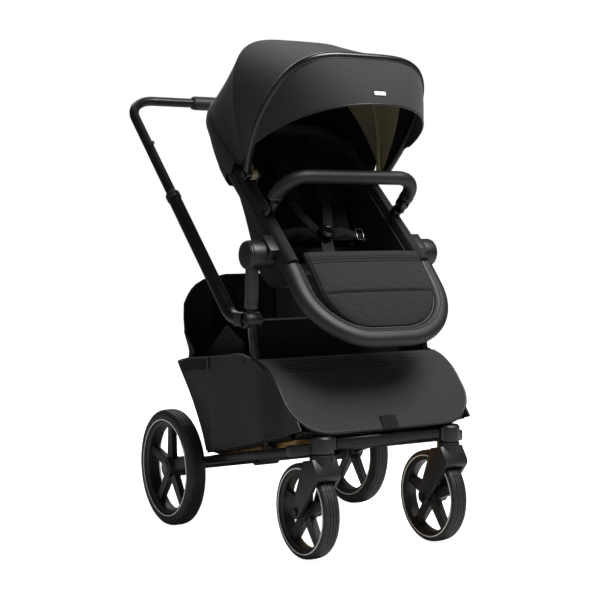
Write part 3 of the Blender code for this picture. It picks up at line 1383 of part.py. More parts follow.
def ahead_of(degrees):
    """The direction square to a bow's plane, towards the front."""
    return Vector((0, -math.sin(math.radians(degrees)), math.cos(math.radians(degrees))))


def hood_panel(start, end, start_gap, end_gap, rows):
    """Cloth drawn straight between two arches, each edge a little clear of its bow's plane."""
    first = [arch_point(start, turn) + ahead_of(start[0]) * start_gap
             for turn in arch_turns(start, HOOD_FOOT, 18)]
    second = [arch_point(end, turn) - ahead_of(end[0]) * end_gap
              for turn in arch_turns(end, HOOD_FOOT, 18)]
    grid = []
    for index in range(rows + 1):
        grid.append([near.lerp(far, index / rows) for near, far in zip(first, second)])
    return sheet(grid, CANOPY_CLOTH, 0.0)


def bow(arch, inset, foot_half_width, knob_length):
    """A bent bow with a round eye at each foot, bored for the pivot pin."""
    turns = arch_turns(arch, PIVOT_KNOB_RADIUS * 0.6, 20)
    path = [arch_point(arch, turn, inset, foot_half_width) for turn in turns]
    eyes, bores = [], []
    for side in (LEFT, RIGHT):
        place = at_x(side * foot_half_width, CANOPY_PIVOT)
        eyes.append(cylinder(PIVOT_KNOB_RADIUS, knob_length, place, X_AXIS))
        bores.append(cylinder(PIVOT_PIN_RADIUS + GAP, 2 * knob_length, place, X_AXIS, 12))
    return cut(fused(tube(path, BOW_RADIUS, 2), *eyes), *bores)


def visor():
    """The peak: cloth from the front bow to a brim that juts forward."""
    clear = BOW_RADIUS + FABRIC_GAP
    ahead = ahead_of(FRONT_BOW_ANGLE)
    turns = arch_turns(HOOD_ARCHES[2], VISOR_FOOT, 18)
    power = 2 / VISOR_SQUARENESS
    base = along(CANOPY_PIVOT, FRONT_BOW_ANGLE, VISOR_FOOT)
    grid = []
    for index in range(6):
        share = index / 5
        row = []
        for step, turn in enumerate(turns):
            near = arch_point(HOOD_ARCHES[2], turn) + ahead * clear
            sweep = math.pi * (0.03 + 0.94 * step / 18)
            x = VISOR_HALF_WIDTH * math.copysign(abs(math.cos(sweep)) ** power, math.cos(sweep))
            far = at_x(x, along(base, 180 - VISOR_LIFT, VISOR_REACH * math.sin(sweep) ** power))
            far += ahead * clear
            bulge = VISOR_BULGE * 4 * share * (1 - share) * math.sin(sweep)
            row.append(near.lerp(far, share) + Vector((0, -0.6, 0.8)) * bulge)
        grid.append(row)
    return sheet(grid, CANOPY_CLOTH, 0.0)


MID_FOOT_HALF_WIDTH = CANOPY_FOOT_HALF_WIDTH - 2 * PIVOT_KNOB_RADIUS * 0.62


def canopy_clip(side):
    """The clip on the rail, with the pin that the bows turn on."""
    reach = Vector(CANOPY_PIVOT) - Vector(SEAT_RAIL_FOOT)
    line = Vector((math.cos(math.radians(SEAT_RAIL_ANGLE)), math.sin(math.radians(SEAT_RAIL_ANGLE))))
    rail_spot = Vector(SEAT_RAIL_FOOT) + line * reach.dot(line)
    inner = MID_FOOT_HALF_WIDTH - PIVOT_KNOB_RADIUS * 0.6 - GAP
    plate_x = side * (inner - 0.003)
    plate = box((0.006, 0.026, (Vector(CANOPY_PIVOT) - rail_spot).length),
                at_x(plate_x, (Vector(CANOPY_PIVOT) + rail_spot) / 2), SEAT_RAIL_ANGLE)
    disc = cylinder(PIVOT_KNOB_RADIUS, 0.006, at_x(plate_x, CANOPY_PIVOT), X_AXIS)
    outer = CANOPY_FOOT_HALF_WIDTH + PIVOT_KNOB_RADIUS * 0.75
    pin = rod(PIVOT_PIN_RADIUS, at_x(side * (inner - 0.003), CANOPY_PIVOT),
              at_x(side * (outer + GAP + 0.002), CANOPY_PIVOT), 16)
    head = cylinder(PIVOT_KNOB_RADIUS * 0.6, 0.004, at_x(side * (outer + GAP + 0.002), CANOPY_PIVOT),
                    X_AXIS)
    rail = cylinder(SEAT_RAIL_RADIUS + GAP, 0.2, at_x(side * SEAT_RAIL_HALF_SPAN, rail_spot),
                    at_x(0, line), 24)
    return cut(fused(plate, disc, pin, head), rail)


mid_axis = pivot("canopy_mid_axis", at_x(0, CANOPY_PIVOT), seat_axis)
front_axis = pivot("canopy_front_axis", at_x(0, CANOPY_PIVOT), mid_axis)
for side, label in SIDES:
    finish(canopy_clip(side), "canopy_clip_" + label, "black plastic", seat_axis)
knob_length = 2 * PIVOT_KNOB_RADIUS * 0.6 - GAP
rear_arch, mid_arch, front_arch = HOOD_ARCHES
finish(bow(mid_arch, BOW_INSET, MID_FOOT_HALF_WIDTH, knob_length), "canopy_mid_bow",
       "black plastic", mid_axis)
finish(bow(front_arch, 0.0, CANOPY_FOOT_HALF_WIDTH, knob_length), "canopy_front_bow",
       "black plastic", front_axis)
finish(hood_panel(rear_arch, mid_arch, 0.0, FABRIC_GAP, 8), "canopy_rear_panel", "shell cloth", mid_axis)
finish(hood_panel(mid_arch, front_arch, FABRIC_GAP, BOW_RADIUS + FABRIC_GAP, 7), "canopy_front_panel",
       "shell cloth", front_axis)
finish(visor(), "canopy_visor", "shell cloth", front_axis)
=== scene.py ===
import json
from math import asin, atan2, ceil, copysign, cos, degrees, exp, pi, radians, sin, sqrt, tan

import bpy
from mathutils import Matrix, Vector

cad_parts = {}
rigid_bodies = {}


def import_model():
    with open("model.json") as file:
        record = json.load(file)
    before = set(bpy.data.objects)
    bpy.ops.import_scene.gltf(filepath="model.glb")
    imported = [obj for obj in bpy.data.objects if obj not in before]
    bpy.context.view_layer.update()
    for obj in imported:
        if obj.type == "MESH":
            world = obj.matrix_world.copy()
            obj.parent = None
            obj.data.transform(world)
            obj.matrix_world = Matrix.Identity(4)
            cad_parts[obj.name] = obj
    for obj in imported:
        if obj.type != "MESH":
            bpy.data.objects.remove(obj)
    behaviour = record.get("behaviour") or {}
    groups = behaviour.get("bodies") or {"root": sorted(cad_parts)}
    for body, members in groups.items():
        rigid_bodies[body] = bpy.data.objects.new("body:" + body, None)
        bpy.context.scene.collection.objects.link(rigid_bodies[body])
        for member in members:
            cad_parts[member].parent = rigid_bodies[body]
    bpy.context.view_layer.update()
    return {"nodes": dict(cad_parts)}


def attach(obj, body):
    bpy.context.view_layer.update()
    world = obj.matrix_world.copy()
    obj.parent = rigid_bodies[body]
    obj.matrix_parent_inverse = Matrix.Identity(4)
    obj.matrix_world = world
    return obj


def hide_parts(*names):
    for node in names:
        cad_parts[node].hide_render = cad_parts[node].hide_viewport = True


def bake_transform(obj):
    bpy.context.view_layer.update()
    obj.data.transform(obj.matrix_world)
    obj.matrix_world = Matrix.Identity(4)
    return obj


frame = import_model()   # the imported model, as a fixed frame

sides = (("left", 1), ("right", -1))
print("frame loaded")


# Points in the side view are (y, z), and angles rise from the rear.

def along(start, degrees, distance):
    angle = radians(degrees)
    return (start[0] + distance * cos(angle), start[1] + distance * sin(angle))


def beside(start, degrees, distance, depth):
    return along(along(start, degrees, distance), degrees - 90, depth)


def squareTo(degrees):
    return Vector((0, -sin(radians(degrees)), cos(radians(degrees))))


def atX(x, point):
    return Vector((x, point[0], point[1]))


def mix(first, second, share):
    return first + (second - first) * share


def clamped(value):
    return min(max(value, 0), 1)


def powered(value, power):
    return copysign(abs(value) ** power, value)


def shares(count):
    return [step / count for step in range(count + 1)]


def turnsOf(count):
    # even steps round a circle
    return [2 * pi * step / count for step in range(count)]


def spread(half, count):
    # even places from one side to the other
    return [half * (2 * step / count - 1) for step in range(count + 1)]


def tableValue(rows, key, column):
    # read between the rows of a table whose first column rises
    key = min(max(key, rows[0][0]), rows[-1][0])
    for low, high in zip(rows, rows[1:]):
        if key <= high[0]:
            share = (key - low[0]) / (high[0] - low[0])
            return mix(low[column], high[column], share)


def smoothLine(points, count):
    # a curve that passes through every point, read at even steps
    spots = [Vector(point) for point in points]
    ends = [2 * spots[0] - spots[1]] + spots + [2 * spots[-1] - spots[-2]]
    result = []
    for step in range(count):
        place = step * (len(spots) - 1) / (count - 1)
        index = min(int(place), len(spots) - 2)
        t = place - index
        a, b, c, d = ends[index:index + 4]
        result.append(0.5 * (2 * b + (c - a) * t + (2 * a - 5 * b + 4 * c - d) * t ** 2
                + (3 * b - a - 3 * c + d) * t ** 3))
    return result


def roundedPath(corners, radius, steps=20):
    # each inner corner becomes an arc
    spots = [Vector(corner) for corner in corners]
    path = [spots[0]]
    for before, corner, after in zip(spots, spots[1:], spots[2:]):
        back = (before - corner).normalized()
        ahead = (after - corner).normalized()
        half = back.angle(ahead) / 2
        centre = corner + (back + ahead).normalized() * radius / sin(half)
        start = corner + back * radius / tan(half) - centre
        end = corner + ahead * radius / tan(half) - centre
        turn = pi - 2 * half
        for step in range(steps + 1):
            share = step / steps
            near = start * sin((1 - share) * turn) / sin(turn)
            far = end * sin(share * turn) / sin(turn)
            path.append(centre + near + far)
    return path + [spots[-1]]


def hoop(half, foot, top, radius, steps=20):
    # up the right side, across and down the left
    return roundedPath([atX(-half, foot), atX(-half, top), atX(half, top), atX(half, foot)],
        radius, steps)


def circleAt(centre, radius, across, up, count):
    return [centre + across * radius * cos(turn) + up * radius * sin(turn)
        for turn in turnsOf(count)]


def lengthsOf(spots):
    lengths = [0.0]
    for before, after in zip(spots, spots[1:]):
        lengths.append(lengths[-1] + (after - before).length)
    return lengths


def headings(spots):
    # which way a line runs at each of its points
    last = len(spots) - 1
    return [(spots[min(index + 1, last)] - spots[max(index - 1, 0)]).normalized()
        for index in range(last + 1)]


def evenly(spots, count):
    lengths = lengthsOf(spots)
    result, index = [], 0
    for step in range(count):
        wanted = lengths[-1] * step / (count - 1)
        while index < len(spots) - 2 and lengths[index + 1] < wanted:
            index += 1
        share = (wanted - lengths[index]) / (lengths[index + 1] - lengths[index])
        result.append(spots[index].lerp(spots[index + 1], min(share, 1)))
    return result


def mirrored(half, middle):
    # a row from the points of its left side and of its middle
    far = [Vector(point) for point in [*middle, *half[::-1]]]
    return [Vector((-x, y, z)) for x, y, z in half] + far


def rimOf(rows, cut=1):
    # up one side of a grid, along its last row and down the other side
    last = rows[-1][cut:len(rows[-1]) - cut]
    return [row[0] for row in rows] + last + [row[-1] for row in rows][::-1]


# Making and finishing a piece, as by hand.
merged = (bpy.ops.mesh.remove_doubles, {"threshold": 0.00001})
outwards = (bpy.ops.mesh.normals_make_consistent, {"inside": False})
capped = (bpy.ops.mesh.fill_holes, {"sides": 0})


def pick(piece):
    bpy.ops.object.select_all(action="DESELECT")
    piece.select_set(True)
    bpy.context.view_layer.objects.active = piece


def edited(piece, *steps):
    # each step is a mesh operator for the whole piece, with its values
    pick(piece)
    bpy.ops.object.mode_set(mode="EDIT")
    bpy.ops.mesh.select_all(action="SELECT")
    for operator, values in steps:
        operator(**values)
    bpy.ops.object.mode_set(mode="OBJECT")
    return piece


def applyAll(piece):
    pick(piece)
    for made in list(piece.modifiers):
        bpy.ops.object.modifier_apply(modifier=made.name)


def settled(piece, angle=35):
    # place in the mesh, faces outwards, smooth but for the sharp edges
    applyAll(piece)
    bpy.ops.object.transform_apply(location=True, rotation=True, scale=True)
    edited(piece, merged, outwards)
    bpy.ops.object.shade_smooth_by_angle(angle=radians(angle))
    return piece


def modifier(piece, kind, **values):
    made = piece.modifiers.new(kind.lower(), kind)
    for name, value in values.items():
        setattr(made, name, value)


def linked(name, data):
    piece = bpy.data.objects.new(name, data)
    bpy.context.scene.collection.objects.link(piece)
    return piece


def fromRows(name, rows, closedAcross=False):
    wide = len(rows[0])
    faces = []
    for line in range(len(rows) - 1):
        for step in range(wide if closedAcross else wide - 1):
            other = (step + 1) % wide
            faces.append((line * wide + step, line * wide + other,
                    (line + 1) * wide + other, (line + 1) * wide + step))
    mesh = bpy.data.meshes.new(name)
    mesh.from_pydata([tuple(point) for row in rows for point in row], [], faces)
    return linked(name, mesh)


def clothFrom(name, rows, thickness, levels=0):
    # a cloth sheet: a grid that gets its wall, and a soft rim where levels are given
    piece = edited(fromRows(name, rows), merged, outwards)
    modifier(piece, "SOLIDIFY", thickness=thickness, offset=0.0, use_even_offset=True)
    if levels:
        modifier(piece, "SUBSURF", levels=levels, render_levels=levels)
    return settled(piece, 60)


def tubeAlong(name, points, radius, resolution=3, closed=False, taper=None):
    # a bevelled curve, turned into a mesh with capped ends
    curve = bpy.data.curves.new(name, "CURVE")
    curve.dimensions = "3D"
    curve.bevel_depth = radius
    curve.bevel_resolution = resolution
    curve.use_fill_caps = True
    spline = curve.splines.new("POLY")
    spline.points.add(len(points) - 1)
    spline.use_cyclic_u = closed
    for index, (spot, point) in enumerate(zip(spline.points, points)):
        spot.co = (*point, 1)
        if taper:
            spot.radius = taper(index / (len(points) - 1))
    piece = linked(name, curve)
    pick(piece)
    bpy.ops.object.convert(target="MESH")
    piece.name = name
    return settled(piece, 50)


def sweptAlong(name, spots, section, upward):
    # a section carried along a line, with its second axis kept to one side
    rows = []
    for spot, ahead in zip(spots, headings(spots)):
        sideways = ahead.cross(Vector(upward)).normalized()
        up = sideways.cross(ahead)
        rows.append([spot + sideways * u + up * v for u, v in section])
    return settled(edited(fromRows(name, rows, True), capped), 40)


def superOval(width, height, power, count=20):
    return [(width / 2 * powered(cos(turn), 2 / power), height / 2 * powered(sin(turn), 2 / power))
        for turn in turnsOf(count)]


def turnedAboutX(name, profile, place, steps=96):
    # a closed profile of (radius, offset) spun about the wheel's axle line
    mesh = bpy.data.meshes.new(name)
    count = len(profile)
    mesh.from_pydata([(offset, radius, 0) for radius, offset in profile],
        [(index, (index + 1) % count) for index in range(count)], [])
    piece = linked(name, mesh)
    spun = {"steps": steps, "angle": 2 * pi, "center": (0, 0, 0), "axis": (1, 0, 0), "dupli": False}
    edited(piece, (bpy.ops.mesh.spin, spun), merged)
    piece.location = place
    return settled(piece, 40)


def disc(name, radius, length, place, edge=0.001, corners=40):
    # a short cylinder along X with its rims rounded over
    bpy.ops.mesh.primitive_cylinder_add(vertices=corners, radius=radius, depth=length,
        location=place, rotation=(0, pi / 2, 0))
    piece = bpy.context.object
    piece.name = name
    modifier(piece, "BEVEL", width=edge, segments=3, limit_method="ANGLE", angle_limit=radians(40))
    return settled(piece)


def block(name, size, place, turnX=0.0, edge=0.001):
    bpy.ops.mesh.primitive_cube_add(size=1, location=place, rotation=(radians(turnX), 0, 0))
    piece = bpy.context.object
    piece.name = name
    piece.scale = size
    bpy.ops.object.transform_apply(location=False, rotation=False, scale=True)
    modifier(piece, "BEVEL", width=edge, segments=3)
    return settled(piece)


def joined(name, *pieces):
    pick(pieces[0])
    for piece in pieces:
        piece.select_set(True)
    bpy.ops.object.join()
    pieces[0].name = name
    return pieces[0]


def dressed(node, finish, edge, angle=38):
    # a copy of a rigid node with its doubles merged and its edges rounded
    original = frame["nodes"][node]
    piece = original.copy()
    piece.data = original.data.copy()
    piece.name = node + "_shape"
    bpy.context.scene.collection.objects.link(piece)
    pick(piece)
    bpy.ops.object.parent_clear(type="CLEAR_KEEP_TRANSFORM")
    edited(piece, (bpy.ops.mesh.remove_doubles, {"threshold": 0.00002}), outwards,
        (bpy.ops.mesh.dissolve_limited, {"angle_limit": radians(1.5)}))
    modifier(piece, "BEVEL", width=edge, segments=2, limit_method="ANGLE",
        angle_limit=radians(angle), use_clamp_overlap=True)
    applyAll(piece)
    bpy.ops.object.shade_smooth_by_angle(angle=radians(angle))
    piece.data.materials.clear()
    piece.data.materials.append(finish)
    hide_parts(node)
    return piece


def dress(piece, finish, body, slot, *nodes):
    # body is one name, to which the piece is attached, or a span of two names and two arches, which
    # is not read: the piece stays fixed where it was made
    piece.data.materials.clear()
    piece.data.materials.append(finish)
    if isinstance(body, str):
        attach(piece, body)
    else:
        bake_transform(piece)
    if nodes:
        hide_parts(*nodes)


def piping(name, points, radius, finish, body, slot="shell_cloth", resolution=3):
    dress(tubeAlong(name, points, radius, resolution), finish, body, slot)


def sheet(name, rows, wall, finish, body, restsOn, *nodes, held="stretched", slot="shell_cloth",
        levels=0):
    piece = clothFrom(name, rows, wall, levels)
    dress(piece, finish, body, slot, *nodes)


# Materials.

def linear(text):
    # an sRGB hex colour as linear light
    values = []
    for start in (1, 3, 5):
        value = int(text[start:start + 2], 16) / 255
        values.append(value / 12.92 if value <= 0.04045 else ((value + 0.055) / 1.055) ** 2.4)
    return (*values, 1)


def addNode(tree, kind, settings=None, links=None):
    node = tree.nodes.new("ShaderNode" + kind)
    for name, value in (settings or {}).items():
        if isinstance(name, int) or name in node.inputs:
            node.inputs[name].default_value = value
        else:
            setattr(node, name, value)
    for name, source in (links or {}).items():
        tree.links.new(source, node.inputs[name])
    return node


def bands(millimetres):
    # a wave texture's scale for bands this far apart
    return 2 * pi / (20 * millimetres / 1000)


def startMaterial(name, colour, roughness, **constants):
    material = bpy.data.materials.new(name)
    material.use_nodes = True
    tree = material.node_tree
    shader = tree.nodes["Principled BSDF"]
    shader.inputs["Base Color"].default_value = linear(colour)
    shader.inputs["Roughness"].default_value = roughness
    for socket, value in constants.items():
        shader.inputs[socket.replace("_", " ")].default_value = value
    place = addNode(tree, "TexCoord").outputs["Object"]
    return material, tree, shader, place


def noiseOf(tree, place, scale, detail):
    return addNode(tree, "TexNoise", {"Scale": scale, "Detail": detail},
        {"Vector": place}).outputs[0]


def worked(tree, operation, first, second):
    # a sum on two sockets, or on a socket and a plain number
    settings, links = {"operation": operation}, {0: first}
    (settings if isinstance(second, float) else links)[1] = second
    return addNode(tree, "Math", settings, links).outputs[0]


def shades(tree, shader, place, scale, dark, light, detail=4.0):
    # a change between two shades, as dust, wear, dye and grain give
    ramp = addNode(tree, "ValToRGB", None, {0: noiseOf(tree, place, scale, detail)})
    for element, place, colour in zip(ramp.color_ramp.elements, (0.35, 0.65), (dark, light)):
        element.position = place
        element.color = linear(colour)
    tree.links.new(ramp.outputs[0], shader.inputs["Base Color"])


def bumped(tree, shader, height, strength, distance):
    bump = addNode(tree, "Bump", {"Strength": strength, "Distance": distance}, {"Height": height})
    tree.links.new(bump.outputs[0], shader.inputs["Normal"])


def wovenCloth(name, dark, light, threads, roughness=0.82, depth=0.14, sheen=0.25):
    # polyester: a fine even weave that scatters light, with a faint bloom at the edges
    material, tree, shader, place = startMaterial(
        name, dark, roughness, Sheen_Weight=sheen * 0.5, Sheen_Roughness=0.45,
        Specular_IOR_Level=0.35)
    shades(tree, shader, place, 1000 / 4, dark, light)
    weave = [addNode(tree, "TexWave",
            {"bands_direction": axis, "Scale": bands(threads), "Distortion": 3.0,
                "Detail": 2.0, "Detail Scale": 2.0}, {"Vector": place}).outputs["Fac"]
        for axis in ("X", "Y", "Z")]
    total = worked(tree, "ADD", worked(tree, "ADD", *weave[:2]), weave[2])
    bumped(tree, shader, total, depth, 0.0004)
    return material


def grained(name, dark, light, millimetres, roughness, depth, metallic=0.0):
    # a moulded, coated or embossed surface: grain in the bump, slow patches in the shade
    material, tree, shader, place = startMaterial(name, dark, roughness, Metallic=metallic)
    shades(tree, shader, place, 1000 / 14, dark, light)
    bumped(tree, shader, noiseOf(tree, place, 1000 / millimetres, 3.0), depth, 0.0003)
    wear = addNode(tree, "MapRange",
        {"To Min": roughness - 0.06, "To Max": roughness + 0.08},
        {"Value": noiseOf(tree, place, 1000 / 35, 2.0)})
    tree.links.new(wear.outputs[0], shader.inputs["Roughness"])
    return material


def ribbedWebbing(name, dark, light, pitch):
    # seat-belt webbing: close ribs along the strap, a little gloss
    material, tree, shader, place = startMaterial(name, dark, 0.6, Sheen_Weight=0.15)
    shades(tree, shader, place, 1000 / 6, dark, light)
    wave = addNode(tree, "TexWave", {"bands_direction": "X", "Scale": bands(pitch)},
        {"Vector": place})
    bumped(tree, shader, wave.outputs["Fac"], 0.5, 0.0005)
    return material


def tyreRubber(name, centre, lines):
    # foamed rubber tyre: dull, with thin moulded cross lines round its shoulder
    material, tree, shader, place = startMaterial(name, "#111111", 0.58)
    shades(tree, shader, place, 1000 / 7, "#0f0f0f", "#161617")
    spot = addNode(tree, "Mapping", {"Location": [-value for value in centre]}, {"Vector": place})
    split = addNode(tree, "SeparateXYZ", None, {0: spot.outputs[0]}).outputs
    turn = worked(tree, "ARCTAN2", split["Z"], split["Y"])
    wave = worked(tree, "PINGPONG", worked(tree, "MULTIPLY", turn, lines / (2 * pi)), 0.5)
    cut = addNode(tree, "MapRange", {"From Min": 0.0, "From Max": 0.03}, {"Value": wave})
    bumped(tree, shader, cut.outputs[0], 0.9, 0.0012)
    return material


def plywood(name, dark, light):
    # varnished floor board: long straight grain and darker plies
    material, tree, shader, place = startMaterial(name, light, 0.5)
    stretch = addNode(tree, "Mapping", {"Scale": (0.6, 1, 14)}, {"Vector": place})
    shades(tree, shader, stretch.outputs[0], 22.0, dark, light, 6.0)
    return material


# Dark and light shade, thread pitch in mm, roughness, depth of the weave, bloom.
shellCloth = wovenCloth("melangeCanvas", "#191919", "#1e1e1f", 2.4)  # hood, tub, seat
visorCloth = wovenCloth("melangeCanvasPaintedLight", "#232324", "#29292a", 2.4)  # the hood canvas painted lighter for the light falling on visor and lid
liningCloth = wovenCloth("blackLining", "#060606", "#0a0a0a", 2.6, 0.9, 0.12, 0.03)  # thin lining
khakiLining = wovenCloth("khakiLining", "#8f8566", "#9b9072", 2.6, 0.9, 0.12, 0.1)  # dyed lining
padCloth = wovenCloth("quiltedCanvas", "#1a1a1b", "#202021", 2.4, 0.85, 0.14, 0.2)  # quilted pad
railSleeve = wovenCloth("railSleeveCanvas", "#0c0c0d", "#111112", 2.2, 0.8, 0.14, 0.12)  # canvas
pipingCloth = wovenCloth("pipingTape", "#151516", "#1b1b1c", 1.8, 0.38, 0.1, 0.05)  # glossy tape
palePipingAndHighlight = wovenCloth("paleBindingAndPaintedHighlight", "#565657", "#666667", 1.8, 0.6, 0.2, 0.1)  # grey binding on the divider; on the leg loop's bead a painted highlight
webbing = ribbedWebbing("beltWebbing", "#131313", "#1b1b1c", 2.6)  # belts, loops
# Dark and light shade, grain in mm, roughness, depth of the grain, metal.
blackPlastic = grained("glassFilledNylon", "#0f0f0f", "#141415", 1.1, 0.44, 0.25)  # spark finish
loopPlastic = grained("mattNylonPaintedShade", "#080808", "#0d0d0d", 1.1, 0.54, 0.25)  # dull moulded grain; colour darker than the other black plastic, as painted shade
smoothPlastic = grained("polishedAbs", "#0b0b0b", "#101010", 2.5, 0.28, 0.08)  # glossy moulding
satinTube = grained("anodisedTube", "#0f0f10", "#151516", 0.9, 0.34, 0.1, 0.45)  # black aluminium
bareTube = grained("polishedAluminium", "#3e3e40", "#4a4a4c", 0.8, 0.26, 0.06, 1.0)  # bare metal
leatherette = grained("leatherette", "#070708", "#0c0c0d", 1.6, 0.52, 0.55)  # pebbled, soft
chrome = grained("chromedWire", "#a8a8aa", "#c4c4c6", 3.0, 0.16, 0.02, 1.0)  # plated wire
paleTag = grained("paleRubberTag", "#d2d2d0", "#dededc", 2.0, 0.5, 0.1)  # soft rubber
wheelStripe = grained("whiteStripe", "#e2e2df", "#ededea", 2.0, 0.45, 0.05)  # painted line
boardWood = plywood("varnishedPlywood", "#c08c46", "#f0c684")  # floor board
print("materials made")


# Camera, light and floor. A lamp has its place, power in watts and width.
studio = {"cameraPlace": (-1.9028, -3.1458, 0.7794), "azimuth": -31.5366, "elevation": 3.1895,
    "lens": 85.89, "worldLight": 0.1, "floorGlow": 0.96, "floorSize": 40,
    "lampAim": (0, -0.05, 0.6),
    "lamps": {"keyLamp": ((0.7, -1.75, 3.2), 150.0, 1.6),
        "fillLamp": ((-2.8, -0.9, 1.6), 5.0, 1.8),
        "rimLamp": ((0.6, 2.2, 2.6), 26.0, 1.6)}}


def turnTowards(thing, direction):
    thing.rotation_mode = "QUATERNION"
    thing.rotation_quaternion = direction.to_track_quat("-Z", "Y")


def seenShare(tree, unseen, seen):
    ray = addNode(tree, "LightPath")
    return addNode(tree, "MapRange", {"To Min": unseen, "To Max": seen},
        {"Value": ray.outputs["Is Camera Ray"]}).outputs[0]


def makeStudio():
    a, e = radians(studio["azimuth"]), radians(studio["elevation"])
    back = Vector((sin(a) * cos(e), -cos(a) * cos(e), sin(e)))
    bpy.ops.object.camera_add(location=studio["cameraPlace"])
    camera = bpy.context.object
    turnTowards(camera, -back)
    camera.data.lens = studio["lens"]
    camera.data.sensor_width = 36
    bpy.context.scene.camera = camera
    for name, (place, watts, size) in studio["lamps"].items():
        bpy.ops.object.light_add(type="AREA", location=place)
        lamp = bpy.context.object
        lamp.name = name
        lamp.data.energy = watts
        lamp.data.size = size
        turnTowards(lamp, Vector(studio["lampAim"]) - Vector(place))
    world = bpy.data.worlds.new("paleStudio")
    bpy.context.scene.world = world
    world.use_nodes = True
    tree = world.node_tree
    background = tree.nodes["Background"]
    background.inputs["Color"].default_value = (1, 1, 1, 1)
    tree.links.new(seenShare(tree, studio["worldLight"], 1.0), background.inputs["Strength"])
    bpy.ops.mesh.primitive_plane_add(size=studio["floorSize"], location=(0, 0, -0.0005))
    floor = bpy.context.object
    floor.name = "studioFloor"
    material, tree, shader, place = startMaterial("paleFloor", "#ececec", 0.9)
    shades(tree, shader, place, 1000 / 60, "#e6e6e6", "#efefef")
    output = next(node for node in tree.nodes if node.type == "OUTPUT_MATERIAL")
    lit = addNode(tree, "Emission", None, {"Strength": seenShare(tree, 0.0, studio["floorGlow"])})
    both = addNode(tree, "AddShader", None, {0: shader.outputs[0], 1: lit.outputs[0]})
    tree.links.new(both.outputs[0], output.inputs["Surface"])
    floor.data.materials.append(material)
    bpy.context.scene.view_settings.view_transform = "Standard"


makeStudio()
print("studio made")


# Wheels.
wheels = {
    "rear": {"radius": 0.148, "depth": 0.029, "width": 0.047, "x": 0.2765, "y": 0.1295,
        "stripe": 0.1225, "lines": 26, "cap": 0.0175, "capOut": 0.0205},
    "front": {"radius": 0.1114, "depth": 0.015, "width": 0.041, "x": 0.18, "y": -0.3705,
        "stripe": 0.0985, "lines": 22, "cap": 0.012, "capOut": 0.0},
}
stripeSize = {"half": 0.0013, "proud": 0.0006}
boxCorners = ((-1, -1), (1, -1), (1, 1), (-1, 1))


def tyreProfile(radius, depth, width):
    inner = radius - depth
    shape = [(inner, 0.38), (inner + 0.1 * depth, 0.46), (inner + 0.35 * depth, 0.495),
        (radius - 0.45 * depth, 0.5), (radius - 0.22 * depth, 0.465),
        (radius - 0.09 * depth, 0.39), (radius - 0.03 * depth, 0.3),
        (radius - 0.01 * depth, 0.215), (radius - 0.0016, 0.205), (radius - 0.0016, 0.185),
        (radius, 0.175), (radius, 0.02), (radius - 0.0012, 0.01)]
    half = [(ring, share * width) for ring, share in shape]
    return half + [(ring, -offset) for ring, offset in reversed(half)]


for kind, facts in wheels.items():
    for label, side in sides:
        place = (side * facts["x"], facts["y"], facts["radius"])
        body = kind + "_wheel_" + label
        name = kind + "Tyre_" + label
        profile = tyreProfile(facts["radius"], facts["depth"], facts["width"])
        tyre = turnedAboutX(name, profile, place)
        rubber = tyreRubber(name + "_rubber", place, facts["lines"])
        dress(tyre, rubber, body, "tyre_rubber", kind + "_tyre_" + label)
        rim = dressed(kind + "_rim_" + label, blackPlastic, 0.0016, 30)
        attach(rim, body)
        for face, mark in ((1, "A"), (-1, "B")):
            profile = [(facts["stripe"] + a * stripeSize["half"],
                    face * (facts["width"] / 2 + b * stripeSize["proud"])) for a, b in boxCorners]
            dress(turnedAboutX("stripe_" + kind + "_" + label + mark, profile, place), wheelStripe,
                body, "tyre_rubber")
        cap = disc("hubCap_" + kind + "_" + label, facts["cap"], 0.004,
            (side * (facts["x"] + facts["capOut"]), facts["y"], facts["radius"]), 0.0015)
        dress(cap, smoothPlastic, body, "black_plastic")
print("wheels made")


# Posts: the heights between which their metal is bare, and the hub cover's x, radius and wall.
post = {"x": 0.245, "hub": (-0.236, 0.698), "foot": (-0.2238, 0.572), "stem": 0.016,
    "lean": 0.0008, "ring": 0.0006, "bare": (0.27, 0.512), "cover": (0.2672, 0.0305, 0.0022)}
# Rigid parts: node, finish, body and rounded edge. A name's last _ stands for both sides.
rigid = (
    ("rear_axle", satinTube, "chassis", 0.0006),
    ("rear_bracket_", blackPlastic, "chassis", 0.0012),
    ("brake_pedal", blackPlastic, "brake", 0.0012),
    ("front_housing_", blackPlastic, "chassis", 0.001),
    ("side_rail_", satinTube, "chassis", 0.0008),
    ("front_crossbar", satinTube, "chassis", 0.001),
    ("caster_fork_", blackPlastic, "caster_", 0.0012),
    ("front_axle_", satinTube, "caster_", 0.0008),
    ("swivel_lock_", blackPlastic, "lock_", 0.0006),
    ("post_tube_", bareTube, "chassis", 0.0006),
    ("seat_adapter_", blackPlastic, "chassis", 0.001),
    ("seat_hub_", blackPlastic, "seat", 0.0015),
    ("bumper_socket_", smoothPlastic, "seat", 0.001),
    ("canopy_clip_", blackPlastic, "seat", 0.0008),
    ("height_button_", blackPlastic, "button_", 0.0005),
    ("floor_board", boardWood, "chassis", 0.0008),
    ("harness_buckle", smoothPlastic, "seat", 0.001),
)
for name, finish, body, edge in rigid:
    for label, side in (sides if name.endswith("_") else (("", 0),)):
        piece = dressed(name + label, finish, edge)
        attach(piece, body + label if body.endswith("_") else body)
        if name == "post_tube_":   # its moulded knuckle and foot are black
            piece.data.materials.append(blackPlastic)
            for face in piece.data.polygons:
                if not post["bare"][0] < face.center.z < post["bare"][1]:
                    face.material_index = 1
print("rigid parts dressed")

